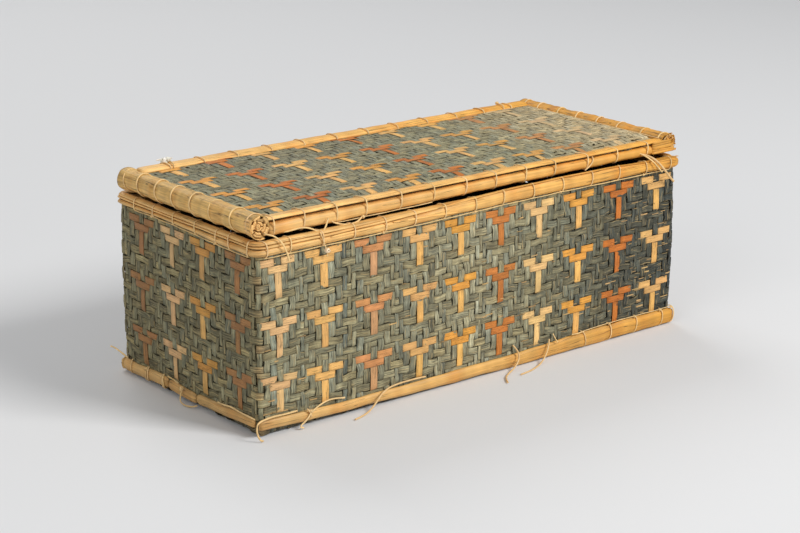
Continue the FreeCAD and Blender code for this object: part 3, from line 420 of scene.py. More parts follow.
bright = fibrous("plain_bamboo_splint", .07, 1.2, .14, (196, 146, 92), .64, .012, .5, .35)
front_hues = ["straw", "peach", "rose", "tan", "gold", "rust", "pale", "gold", "deep", "tan"]
other_hues = ["tan", "rust", "straw", "gold", "pale", "rust", "gold", "straw", "rust", "peach",
              "gold", "rose", "tan", "rust", "rust", "straw", "gold", "rust"]
slips = []
spacing = np.diff(all_runs)
for i, (run, hue) in enumerate(zip(motif_runs, front_hues + other_hues)):
    wide = (spacing[i] + spacing[i - 1]) / 2 / 36.3
    for height in motif_heights:
        dull = {"rust": .5, "straw": .12}.get(hue, .22) if run >= left_start - 20 else 0
        slips += bright_motif(on_the_wall, run, height, max(wide, .86), 1, hue, rng,
                              (np.array([122, 104, 76]), dull + rng.uniform(0, .08)))
# Worn patches, where slivers of bare bamboo show: middle, spread and how many.
for x, z, spread_x, spread_z, count in (
        (142, 28, 24, 14, 44), (140, 82, 26, 24, 26), (-170, 24, 6, 12, 16),
        (45, 45, 26, 20, 22), (-30, 60, 90, 35, 26), (168, 60, 5, 35, 14)):
    for _ in range(count):
        at, high = rng.normal(x, spread_x), np.clip(rng.normal(z, spread_z), 12, 108)
        if abs(at) < 174:
            half_along, half_wide = rng.uniform(1.2, 3.6), rng.uniform(.2, .5)
            bare = np.array([190, 156, 104]) * rng.uniform(.75, 1.12)
            slips.append(bright_slip(on_the_wall, at + near_edge, high, half_along, half_wide,
                                     False, bare, rng, .98))
make_piece("wall_bright_slips", slips, bright, "box", "wall_mat")

# The floor mat: broader undyed and dyed splints woven two over, two under, and
# sewn to the folded hem of the walls.
floor_half_length, floor_half_depth, floor_height = 169.0, 69.5, 1.75


def on_the_floor(a, b, lift):
    spot = np.stack(np.broadcast_arrays(a, b, floor_height + lift), -1)
    return spot, np.broadcast_to((0.0, 0.0, 1.0), spot.shape)


def floor_tone(spot, out, rng, upright):
    shade = tint(*((146, 132, 98) if upright else (166, 146, 104))) * (1 + .1 * rng.normal())
    return shade * (1 + wander(spot.sum(1), rng, .1, 60))[:, None]


floor_columns = np.linspace(-floor_half_length, floor_half_length, 57)
floor_rows = np.linspace(floor_half_depth, -floor_half_depth, 24)
twill = np.array([[1 if (i + j) % 4 < 2 else -1 for i in range(56)] for j in range(23)])
uprights, levels = weave(floor_columns, floor_rows, twill, on_the_floor, floor_tone, rng)
make_piece("floor_mat", uprights + levels, dyed, "box", "base_mat")

# The base canes: split cane with a rounded face, tied round the foot of the walls
# outside. The left one has cracked through in two places.
half_round = np.array([(math.cos(t) * .5, math.sin(t)) for t in np.linspace(math.pi, 0, 15)]
                      + [(.38, -.04), (.12, -.06), (-.12, -.06), (-.38, -.04), (-.46, -.02)])
straw_tones = [(224, 180, 114), (225, 174, 98), (216, 155, 62)]


def cane_section(outline, run, rng, depth=.035):
    """The section at each place, ridged by the cane's fibres and never quite even."""
    turn = np.arange(len(outline)) / len(outline)
    ridges = sum(np.sin(2 * math.pi * (turn * k + rng.uniform())) for k in (5, 9)) / 2
    scale = 1 + depth * (.5 * ridges[None] + wander(run, rng, .8, 55)[:, None]
                         + .35 * np.sin(run[:, None] / 7 + turn[None] * 17 + rng.uniform(0, 6)))
    return outline[None] * scale[..., None]


def cane_tone(spot, rng, strength=1.0):
    """Straw at the left end, turning golden to the right, with browner stretches."""
    tone = graded(spot[:, 0], [-180, 0, 180], straw_tones)
    run = np.arange(len(spot)) * 3.0
    brown = np.clip(wander(run, rng, .5, 95), 0, 1)[:, None] * np.array([.12, .28, .45])
    from_corner = np.hypot(spot[:, 0] + 178, spot[:, 1] + 79)
    crushed = np.exp(-(from_corner / 9) ** 2) * rng.uniform(.1, .45, len(spot)) * (spot[:, 2] < 123)
    brown = brown + crushed[:, None] * np.array([.5, .7, .9])
    return tone * strength * (1 + wander(run, rng, .07, 40)[:, None]) * (1 - brown)


def even_steps(points, step=2.5):
    """Points every step mm along a run of straight lines."""
    points = np.asarray(points, float)
    lengths = np.linalg.norm(np.diff(points, axis=0), axis=1)
    run = np.concatenate([[0], np.cumsum(lengths)])
    at = np.linspace(0, run[-1], max(2, int(run[-1] / step)) + 1)
    return np.stack([np.interp(at, run, points[:, i]) for i in range(3)], 1), at


def cane(points, up, width, thick, outline, rng, strength=1.0, wave=.25, rough_ends=.6, roll=0.0):
    """One length of cane or reed along these points, thinning into rough cut ends."""
    line, at = even_steps(points)
    up = np.broadcast_to(np.asarray(up, float), line.shape) if np.ndim(up) == 1 else up(line)
    side = np.cross(np.gradient(line, axis=0), up)
    side /= np.linalg.norm(side, axis=1, keepdims=True)
    width = width(line) if callable(width) else width
    line = line + side * wander(at, rng, wave, 140)[:, None]
    end = np.minimum(at, at[-1] - at)
    thin = 1 - .25 * np.exp(-end / rough_ends)
    section = cane_section(outline, at, rng)
    part = list(sweep(line, up, width * thin, thick * thin, section, cane_tone(line, rng, strength),
                      rng.uniform(0, 900), roll=roll))
    for edge in (slice(0, len(outline)), slice(-len(outline), None)):
        ragged = rng.uniform(-1, 1, len(outline))[:, None]
        ahead = (line[1] - line[0]) / np.linalg.norm(line[1] - line[0])
        part[0][edge] += ahead * ragged * .2
    return tuple(part)


cane_finish = fibrous("split_cane", .016, .9, .13, (168, 104, 44), .66, .011, .46, .4)
foot_back, foot_depth, foot_thick = 177.32, 77.82, 2.2


def cane_piece(node, canes, body="box"):
    """Lengths of cane that stand for one of the frame's pieces."""
    make_piece(node + "_shaped", canes, cane_finish, body, node)


# Where along a side, and how high the cane's lower and upper edges stand there.
foot_heights = {"front": [(-180, 4.7, 11.7), (-149, 3.7, 10.5), (-118, 3.0, 9.4), (-79, 2.3, 9.1),
                          (-29, 1.0, 9.0), (41, .7, 9.8), (78, .6, 10.8), (112, .6, 11.7),
                          (180, .7, 11.7)],
                "left": [(-78, 5.2, 11.7), (-49, 4.2, 10.6), (-16, 2.9, 9.8), (19, 2.6, 9.9),
                         (55, 1.6, 9.8), (78, 1.4, 9.9)],
                "back": [(-180, 1.0, 9.8), (180, 1.0, 9.8)],
                "right": [(-78, .8, 11.2), (78, 1.0, 9.8)]}


def foot_edges(side, at):
    """How high a base cane's lower and upper edges stand at these places along a side."""
    places, lows, highs = zip(*foot_heights[side])
    return np.interp(at, places, lows), np.interp(at, places, highs)


def foot_cane(side, low, high, tilt, strength):
    """One base cane from low to high along its side, as tall as it is at each place."""
    at = np.linspace(low, high, 24)
    bottom, top = foot_edges(side, at)
    out = {"front": (0, -1, 0), "back": (0, 1, 0), "right": (1, 0, 0), "left": (-1, 0, 0)}[side]
    level = np.where(np.array(out) == 0, 1, 0) * np.array([1, 1, 0])
    reach = np.array(out) * (foot_depth if side in ("front", "back") else foot_back)
    points = at[:, None] * level + reach
    points[:, 2] = (bottom + top) / 2 + tilt * (at - low) / (high - low)
    axis = int(level[1])

    def breadth(line):
        bottom, top = foot_edges(side, line[:, axis])
        return top - bottom

    return cane(points, out, breadth, foot_thick, half_round, rng, strength)


foot = {"base_cane_front": ("front", -178.2, 179.1, 0, .91),
        "base_cane_back": ("back", 179.1, -179.1, 0, .97),
        "base_cane_right": ("right", -77.4, 77.4, 0, .93),
        "base_cane_left_front": ("left", -10.7, -73.5, .3, .8),
        "base_cane_left_middle": ("left", 22, -9, -.6, .77),
        "base_cane_left_back": ("left", 77.3, 23.5, .5, .8)}
for name, where_and_how in foot.items():
    cane_piece(name, [foot_cane(*where_and_how)])

# The rim: a split reed outside and thinner ones inside, with one more lying on top
# of the mat's cut edge. The outer reed is one length, crushed round the near corner
# and split along its upper edge, where the split gapes on the left.
rim_back, rim_depth = 177.32, 77.82
rim_low, rim_high, rim_thick = 113.7, 120.4, 2.3


def bent_path(corners, bend, height):
    """Straight runs joined by quarter bends, level at this height."""
    corners = [np.array(c, float) for c in corners]
    points = [corners[0]]
    for before, here, after in zip(corners, corners[1:], corners[2:]):
        back, on = before - here, after - here
        back, on = back / np.linalg.norm(back), on / np.linalg.norm(on)
        centre = here + (back + on) * bend
        for t in np.linspace(0, math.pi / 2, 7):
            points.append(centre - on * bend * math.cos(t) - back * bend * math.sin(t))
    points.append(corners[-1])
    return [(x, y, height) for x, y in points]


def away_from_middle(line):
    """The level way out of the basket, turning with the path."""
    ahead = np.gradient(line, axis=0)
    ahead[:, 2] = 0
    ahead /= np.linalg.norm(ahead, axis=1, keepdims=True)
    out = np.stack([ahead[:, 1], -ahead[:, 0], 0 * ahead[:, 0]], 1)
    return out * np.sign((out * line).sum(1))[:, None]


rim_corners = [(177.9, -rim_depth), (-rim_back, -rim_depth), (-rim_back, rim_depth),
               (177.9, rim_depth)]
rim_middle = (rim_low + rim_high) / 2
flat_strip = np.array([(-.5, .1), (-.44, .62), (-.3, .86), (-.1, .98), (.1, 1), (.3, .9),
                       (.44, .66), (.5, .1), (.44, 0), (.15, 0), (-.15, 0), (-.44, 0)])


rim_feet = {"front": ([-70, 0, 60, 165], [113.7, 114.6, 115.2, 114.8]),
            "left": ([-78, -37, -14, 11, 34, 78], [113.7, 114.2, 115.2, 115.9, 116.0, 115.3])}
rim_crests = {"front": ([-120, -70, 0, 60, 120, 165], [120.4, 121.4, 123.9, 124.7, 124.3, 122.5])}


def rim_level(levels, side, at, plain):
    """How low or high the outer reed reaches: it wanders on the front and the left."""
    return np.interp(at, *levels.get(side, ([0], [plain])))


strips = []
for lower, outline, strength in ((True, half_round, 1.0), (False, flat_strip, 1.05)):
    line, _ = even_steps(bent_path(rim_corners, 4.2, 0))
    on_left = np.clip((-line[:, 0] - 172) / 4, 0, 1)
    in_front = np.clip((-line[:, 1] - 70) / 4, 0, 1)
    crest = rim_high + in_front * (rim_level(rim_crests, "front", line[:, 0], rim_high) - rim_high)
    foot_level = (rim_low + on_left * (rim_level(rim_feet, "left", line[:, 1], rim_low) - rim_low)
                  + in_front * (1 - on_left)
                  * (rim_level(rim_feet, "front", line[:, 0], rim_low) - rim_low))
    split_at = crest - np.interp(line[:, 0], [-60, 20], [1.9, .45])
    low = foot_level if lower else split_at + .5 * on_left
    high = split_at - .4 * on_left if lower else crest
    line[:, 2] = (low + high) / 2

    def breadth(at, tall=high - low):
        return np.interp(np.linspace(0, 1, len(at)), np.linspace(0, 1, len(tall)), tall)

    strips.append(cane(line, away_from_middle, breadth, rim_thick, outline, rng, strength, .12))
for start, end, high, dip in ((-76, -24, 118.6, -2.2), (-124, -92, 117.6, .6)):
    sliver = [(start, -rim_depth - 1.75, high), (end, -rim_depth - 1.9, high + dip)]
    strips.append(cane(sliver, (0, -1, 0), 1.5, .75, flat_strip, rng, 1.14, .2, 9))
cane_piece("rim_outer_reed", strips)
cane_piece("rim_outer_reed_right", [
    cane([(rim_back, -77.4, rim_middle), (rim_back, 77.4, rim_middle)], (1, 0, 0),
         rim_high - rim_low, 1.7, half_round, rng, .95)])
top_corners = [(176.1, -76.8), (-176.3, -76.8), (-176.3, 76.8), (176.1, 76.8)]
cane_piece("rim_top_reed", [
    cane(bent_path(top_corners, 3.8, 120.8), (0, 0, 1), 6.0, 1.9, flat_strip, rng, 1.0)])
cane_piece("rim_top_reed_right", [
    cane([(176.0, -73.6, 120.4), (176.0, 73.6, 120.4)], (0, 0, 1), 5.8, 2.0, flat_strip, rng, .95)])
inside = {"front": ([(-172, -75.22), (172, -75.22)], (0, 1, 0)),
          "back": ([(172, 75.22), (-172, 75.22)], (0, -1, 0)),
          "left": ([(-174.72, 72.6), (-174.72, -72.6)], (1, 0, 0)),
          "right": ([(174.72, -72.6), (174.72, 72.6)], (-1, 0, 0))}
for side, (ends, up) in inside.items():
    cane_piece("rim_inner_reed_" + side, [
        cane([(x, y, 115.9) for x, y in ends], up, 7.6, 2.2, half_round, rng, .85)])

# The lashings: flat strips of pale fibre, wound round the reeds through the mat at
# each turn and carried along the edge to the next, with a knot here and there.
oval = np.array([(math.cos(t) * .5, math.sin(t) * .5)
                 for t in np.linspace(math.pi, -math.pi, 9)[:-1]])
thread_finish = fibrous("pale_tying_fibre", .12, 1.6, .14, (190, 146, 90), .66, .0, .55, .5)
thread_tone = (236, 200, 142)


def smooth_line(points, closed=False, times=3):
    """Corners cut a few times over, for a line that bends softly."""
    points = np.asarray(points, float)
    for _ in range(times):
        following = np.roll(points, -1, 0) if closed else points[1:]
        before = points if closed else points[:-1]
        cut = np.stack([before * .75 + following * .25, before * .25 + following * .75], 1)
        cut = cut.reshape(-1, points.shape[1])
        points = cut if closed else np.concatenate([points[:1], cut, points[-1:]])
    return points


def steady_up(line):
    """A direction across the line that never flips as the line turns."""
    ahead = np.gradient(line, axis=0)
    ahead /= np.linalg.norm(ahead, axis=1, keepdims=True)
    up = np.cross(ahead[0], (0.31, 0.52, 0.8))
    ups = []
    for way in ahead:
        up = up - way * up.dot(way)
        up = up / np.linalg.norm(up)
        ups.append(up)
    return np.array(ups)


def strand(points, width, thick, rng, tone=thread_tone, closed=False, ups=None):
    """A length of tying fibre, a little uneven in breadth."""
    line = smooth_line(points, closed)
    at = np.arange(len(line)) * 1.0
    wide = width * (1 + wander(at, rng, .12, 31))
    up = steady_up(line) if ups is None else ups(line)
    shade = (tint(*tone) * rng.uniform(.86, 1.04)
             * np.array([1, rng.uniform(.97, 1.01), rng.uniform(.9, 1.02)]))
    shade = shade * (1 + wander(at, rng, .06, 25))[:, None]
    return sweep(line, up, wide, thick, oval, shade, rng.uniform(0, 900), closed=closed)


def turn_round(outline, place, frame_of, rng, slant=1.2, width=1.05, thick=.62):
    """One closed turn of fibre round an outline (out, height), at this place along."""
    outline = np.asarray(outline, float)
    centre = outline.mean(0)
    shares = np.arange(len(outline)) / len(outline)
    drift = slant * np.sin(2 * math.pi * shares + rng.uniform(-.5, .5)) + rng.normal(0, .35)
    points = [frame_of(place + shift, *spot) for shift, spot in zip(drift, outline)]
    middle = np.array(frame_of(place, *centre))
    along = np.array(frame_of(place + 1, *centre)) - middle

    def ups(line):
        away = line - middle
        away = away - np.outer(away @ along, along)
        return away / np.linalg.norm(away, axis=1, keepdims=True)

    return strand(points, width * rng.uniform(.85, 1.15), thick, rng, closed=True, ups=ups)


def running(places, heights, out, frame_of, rng, bow=.32):
    """The fibre carried along from turn to turn, drooping a little between them."""
    points = []
    for here, after, low, low_after in zip(places, places[1:], heights, heights[1:]):
        points.append(frame_of(here, out, low))
        for share in (.3, .65):
            points.append(frame_of(here + (after - here) * share, out + rng.uniform(-.1, .25),
                                   low + (low_after - low) * share - bow * rng.uniform(.2, 1.2)))
    points.append(frame_of(places[-1], out, heights[-1]))
    return strand(points, .62, .55, rng)


def knot(centre, size, rng, tone=thread_tone):
    """A small hard knot: three turns of fibre pulled tight on each other."""
    parts = []
    for _ in range(3):
        way = rng.normal(size=3)
        way /= np.linalg.norm(way)
        across = np.cross(way, (.3, .5, .8))
        across /= np.linalg.norm(across)
        third = np.cross(way, across)
        ring = [np.array(centre) + size * (across * math.cos(t) + third * math.sin(t) * .8)
                for t in np.linspace(0, 2 * math.pi, 7)[:-1]]
        parts.append(strand(ring, size * .9, size * .8, rng, tone, closed=True))
    return parts


def wound(node, parts, body="box"):
    """Turns, knots and tails of fibre that stand for one of the frame's lashings."""
    make_piece(node + "_wound", parts, thread_finish, body, node)


frames = {"front": lambda s, out, z: (s, -wall_half_depth - out, z),
          "back": lambda s, out, z: (-s, wall_half_depth + out, z),
          "left": lambda s, out, z: (-wall_half_length - out, -s, z),
          "right": lambda s, out, z: (wall_half_length + out, s, z)}
rim_outline = [(0, 1), (2.3, .99), (3.5, .87), (4.0, .64), (4.05, .39), (3.7, .16), (2.6, .03),
               (1.1, 0), (-1.4, .02), (-3.3, .12), (-4.0, .32), (-4.0, .59), (-3.3, .81),
               (-2.6, .98)]
rim_places = {"front": [-172.3, -155.1, -131.2, -107.2, -83, -59.1, -34.8, -9.8, 14.1, 40.3, 66.3,
                        92.9, 118.3, 144.3, 168.9],
              "back": [-163.3 + 25 * k for k in range(14)],
              "left": [-55.6, -33.7, -9.9, 14.1, 37.3, 51.2, 71.2],
              "right": [-59.6 + 23.5 * k for k in range(6)]}
rim_wrap_top = 122.95
for side, places in rim_places.items():
    parts, lows = [], []
    for place in places:
        at = -place if side == "left" else place
        low = float(rim_level(rim_feet, side, at, rim_low)) - .75
        high = max(float(rim_level(rim_crests, side, at, rim_high)) + .6, rim_wrap_top)
        outline = [(out, low + share * ((high if out > 1 else rim_wrap_top) - low))
                   for out, share in rim_outline]
        parts.append(turn_round(outline, place, frames[side], rng, 1.2, .95))
        lows.append(low + .3 + rng.uniform(-.2, .2))
    parts.append(running(places, lows, 2.9, frames[side], rng))
    for place, low in list(zip(places, lows))[1::3]:
        parts += knot(frames[side](place + rng.uniform(-1, 1), 3.2, low), .8, rng)
    if side == "front":
        hanging = [(-132.4, -80.2, 122.4), (-131.0, -81.1, 118), (-129.6, -81.2, 113.6),
                   (-127.6, -81.0, 109.6), (-127.4, -80.6, 106.6)]
        parts.append(strand(hanging, .9, .7, rng))
        parts += knot((-127.8, -81.2, 110.4), 1.5, rng, (246, 222, 184))
    wound("rim_lashing_" + side, parts)

foot_outline = [(1.2, 1.14), (2.6, 1.08), (3.75, .85), (4.0, .52), (3.7, .2), (2.6, 0),
                (.6, -.03), (-1.6, -.02), (-2.4, .2), (-2.1, .57), (-2.0, .98), (-.8, 1.13)]
foot_places = {"front": [90.3, 115.3, 140.3, 165.3, 176.6],
               "back": [-163.3 + 25 * k for k in range(14)],
               "right": [-62.5 + 25 * k for k in range(6)],
               "left": [-67.7, -47.7, -27.7]}
# Loose tails of the foot's lashing, each as its width, thickness and route.
foot_tails = {
    "front": [(.8, .55, [(90.3, -79.4, 12.2), (84, -79.9, 12.0), (79, -80.4, 12.8)]),
              (.8, .5, [(62.6, -79.0, 16.5), (63.0, -80.8, 13.5), (65.5, -80.9, 10.4)]),
              (1.15, .9, [(-150.5, -79.2, 12.2), (-160, -80.3, 12.6), (-170, -80.6, 13.4),
                          (-181.2, -81.6, 12.6), (-182.6, -82.0, 8.8), (-182.2, -82.6, 4.6),
                          (-180.6, -83.4, 1.2), (-179.0, -83.9, 1.0)]),
              (1.15, .9, [(-147.5, -81.6, 1.0), (-151, -82, 2.6), (-144.5, -81.4, 5.6),
                          (-140.8, -81.0, 9.8), (-133.4, -80.0, 12.6), (-125, -79.8, 14.2),
                          (-114.2, -79.3, 12.2)]),
              (1.15, .9, [(-143.8, -80.4, 12.2), (-141.6, -81, 9.6), (-141.0, -80.9, 6.6)])],
    "left": [(1.0, .8, [(-179.5, -36, 11.9), (-180.6, -44, 12.8), (-180.2, -51.6, 13.6),
                        (-180.7, -62, 13.2), (-180.4, -77.2, 13.0)]),
             (1.0, .8, [(-180.6, 3.2, 9.4), (-182.4, 2.6, 5.4), (-183.0, 2.2, 1.6),
                        (-183.4, -3.4, .9), (-182.6, -10.2, 1.6), (-181.2, -14.8, 3.4)]),
             (1.0, .8, [(-179.4, 70.6, 11.4), (-180.8, 77.4, 13.9), (-180.9, 84.6, 15.0),
                        (-180.6, 90.2, 14.4)]),
             (1.0, .8, [(-179.2, 21.8, 12.2), (-180.3, 15.2, 12.8), (-180.6, 7.4, 12.0)])]}
tail_knots = {"front": ((-140.9, -80.9, 10.2), 1.15), "left": ((-181.0, 3.2, 9.6), 1.3)}
for side, places in foot_places.items():
    parts, highs = [], []

    def foot_turn(place, low, high, side=side):
        outline = [(out, low + share * (high - low)) for out, share in foot_outline]
        return turn_round(outline, place, frames[side], rng, 2.0, .95)

    for place in places:
        low, high = foot_edges(side, -place if side in ("back", "left") else place)
        low, high = max(low, 1.1), max(high, 9.8)
        parts.append(foot_turn(place, low, high))
        highs.append(high + 1.1 + rng.uniform(-.2, .3))
        if side == "front":
            parts += knot(frames[side](place, 3.0, highs[-1] - .3), .8, rng)
    if side != "left":
        parts.append(running(places, highs, 2.6, frames[side], rng, -.2))
    else:
        for place in (-29.8, -49.2):
            low, high = foot_edges(side, -place)
            parts.append(foot_turn(place, low, high))
            parts += knot(frames[side](place, 3.2, high + .2), .9, rng)
    for width, thick, route in foot_tails.get(side, []):
        parts.append(strand(route, width, thick, rng))
    if side in tail_knots:
        parts += knot(*tail_knots[side], rng)
    wound("base_lashing_" + side, parts)

# The lid mat: the same weave as the walls, lighter and bleached toward its right
# end, with the same bright slips in four rows of nine.
lid_half_length, lid_half_depth, lid_height = 166.8, 72.8, 134.68
lid_pitch_x, lid_pitch_y = 35.7, 37.4
lid_first_x, lid_first_y = -148.3, 65.0
lid_columns = np.concatenate([lid_first_x + lid_pitch_x * (i + column_edges)
                              for i in range(-1, 9)])
lid_columns = lid_columns[(lid_columns > -lid_half_length) & (lid_columns < lid_half_length)]
lid_motif_rows = [lid_first_y - lid_pitch_y * k for k in range(4)]
lid_rows = np.concatenate([lid_first_y + lid_pitch_y * (1 - row_edges[6:])]
                          + [y - lid_pitch_y * row_edges for y in lid_motif_rows])
lid_rows = lid_rows[(lid_rows > -lid_half_depth) & (lid_rows < lid_half_depth)]


def droop(x):
    """How far the mat bends down at its front edge, most of all at the right end."""
    return np.interp(x, [-165, -20, 165], [1.9, 2.2, 3.1])


def on_the_lid(x, y, lift):
    wave = .28 * np.sin(x / 37 + 1) * np.cos(y / 29) + .15 * np.sin(x / 13 + y / 17)
    wave = wave * np.clip((y + 66) / 10, .2, 1) - droop(x) * np.clip((-50 - y) / 20, 0, 1) ** 1.4
    spot = np.stack(np.broadcast_arrays(x - .012 * (lid_first_y - y), y - .008 * (x - lid_first_x),
                                        lid_height + lift + wave), -1)
    return spot, np.broadcast_to((0.0, 0.0, 1.0), spot.shape)


def column_kind(edge, first, pitch, shares):
    """Which of the eight columns or rows of the repeat begins at this edge."""
    share = ((edge - first) / pitch) % 1
    gaps = np.abs((shares % 1) - share)
    return int(np.argmin(np.minimum(gaps, 1 - gaps)))


def lid_tone(spot, out, rng, upright):
    tone = graded(spot[:, 0], [-167, -60, 60, 167],
                  [(130, 127, 100), (140, 135, 107), (147, 142, 111), (191, 171, 131)])
    dim = np.interp(spot[:, 1], [-60, 20, 70], [1.04, .98, .8])[:, None]
    warmth = rng.normal(0, .03)
    cast = np.array([1 + warmth, 1, 1 - 1.6 * warmth])
    cast = cast * ((.97, 1, 1.05) if upright else (1.02, 1, .96))
    patches = np.exp(wander(spot.sum(1), rng, .13, 33) + wander(spot.sum(1), rng, .08, 9))
    return tone * dim * np.exp(rng.normal(0, .08)) * cast * patches[:, None]


kinds_x = [column_kind(e, lid_first_x, lid_pitch_x, column_edges) for e in lid_columns[:-1]]
kinds_y = [column_kind(lid_first_y - e, 0, lid_pitch_y, row_edges) for e in lid_rows[:-1]]
lid_on_top = np.array([[upright_on_top[j, i] for i in kinds_x] for j in kinds_y])
lid_columns = np.concatenate([[-lid_half_length], lid_columns[1:-1], [lid_half_length]])
dyed_lid = fibrous("dyed_lid_splint", .05, 1.3, .4, (190, 168, 122), .58, .025, .6, .35)
uprights, levels = weave(lid_columns, lid_rows, lid_on_top, on_the_lid, lid_tone, rng, shade_strength=.9)
for part_name, some in (("uprights", uprights), ("levels", levels)):
    make_piece("lid_" + part_name, some, dyed_lid, "lid", "lid_mat")
lid_hues = ["gold", "deep", "peach", "gold", "deep", "peach", "gold", "rust", "straw"]
slips = []
for i, hue in enumerate(lid_hues):
    worn = (np.array([196, 180, 142]), np.interp(i, [0, 5, 8], [0, .08, .45]))
    for y in lid_motif_rows:
        slips += bright_motif(on_the_lid, lid_first_x + lid_pitch_x * i, y, lid_pitch_x / 36.3,
                              lid_pitch_y / 36.6, hue, rng, worn, min(22.8, y + 63.6))
make_piece("lid_bright_slips", slips, bright, "lid", "lid_mat")

# The lid's long edges: a round reed below the mat and a flat strip above it, with
# the mat's cut edge shut between the two. The front edge has sunk onto the rim, and
# its reed is crushed at the right end.
lid_reed_y, lid_reed_low, lid_reed_high, lid_front_set_out = 68.2, 125.2, 134.2, 1.7
full_round = np.array([(math.cos(t) * .5, math.sin(t) * .5)
                       for t in np.linspace(math.pi, -math.pi, 21)[:-1]])


lid_back_edge = (lid_reed_low, lid_reed_high, 135.7, 138.2)
lid_front_ends = ((123.6, 132.0, 133.6, 135.9), (124.9, 131.7, 132.7, 134.6))


def lid_edge(x, way):
    """Where a long edge of the lid lies at x: its reed's bottom and top, then its strip's."""
    share = (x + 165) / 330
    return lid_back_edge if way > 0 else tuple(a + (b - a) * share
                                               for a, b in zip(*lid_front_ends))


for side, way in (("front", -1), ("back", 1)):
    middle = lid_reed_y + (lid_front_set_out if way < 0 else 0)
    path = np.array([(x, way * middle, *lid_edge(x, way)) for x in np.linspace(-165.4, 165.4, 24)])

    def tall(line, path=path):
        return np.interp(line[:, 0], path[:, 0], path[:, 3] - path[:, 2])

    squarer = np.sign(full_round) * np.abs(2 * full_round) ** (.74 if way < 0 else 1) / 2
    reed_line = np.column_stack([path[:, :2], (path[:, 2] + path[:, 3]) / 2])
    reeds = [cane(reed_line, (0, way, 0), tall, 10.2, squarer, rng, 1.0, .15)]
    for z in (126.4, 128.1, 129.9, 131.6, 133.2) if way < 0 else ():
        crushed = [(156, -74.6, z), (166, -75.7, z + .4),
                   (rng.uniform(172, 178.6), -76.4, z + rng.uniform(.3, 1.5))]
        reeds.append(cane(crushed, (0, -1, 0), rng.uniform(1.6, 2.7), .7, flat_strip, rng,
                          rng.uniform(.8, 1.08), .2, 3))
    cane_piece("lid_" + side + "_edge_reed", reeds, "lid")
    path[[0, -1], 0] *= 1.012
    strip = cane(np.column_stack([path[:, :2], path[:, 4]]), (0, 0, 1), 9.8 if way < 0 else 10.4,
                 2.3, flat_strip, rng, 1.17, roll=.1 * way)
    cane_piece("lid_" + side + "_top_strip", [strip], "lid")

# The lid's short ends: a bundle of flattened reeds rolled in a sheet of reed bark
# and bound with fibre. The bark overlaps itself in a seam along the inside, and the
# reeds' curled ends show in its open ends, with dark hollows between them; each reed
# is darkened inward from its end as painted shade.
bundle_x, bundle_z, bundle_radius, bundle_half = 172.12, 131.18, 7.2, 74.0
pressed_rise = 5.5
bundle_finish = fibrous("rolled_reed_bark", .035, .75, .19, (140, 84, 34), .62, .02, .5, .6)
bundle_places = [-71.5, -54.2, -30.7, -9.0, 11.7, 31.1, 51.9, 67.5]


def curled(outer, inner, start, end, count, rough, rng):
    """The end outline of a curled strip, from its outer face round to its inner one."""
    turn = np.linspace(math.radians(start), math.radians(end), count)
    bumps = sum(np.sin(turn * k + rng.uniform(0, 6)) for k in (3, 5, 9)) * rough
    ring = np.stack([np.cos(turn), np.sin(turn)], 1)
    return np.concatenate([ring * (outer + bumps)[:, None],
                           (ring * (inner + bumps * .8)[:, None])[::-1]])


def pressed_flat(way, y):
    """The right bundle's near end is pressed flatter than the rest."""
    return 1 - .17 * np.exp(-((np.asarray(y) + 76) / 11) ** 2) * (way > 0)


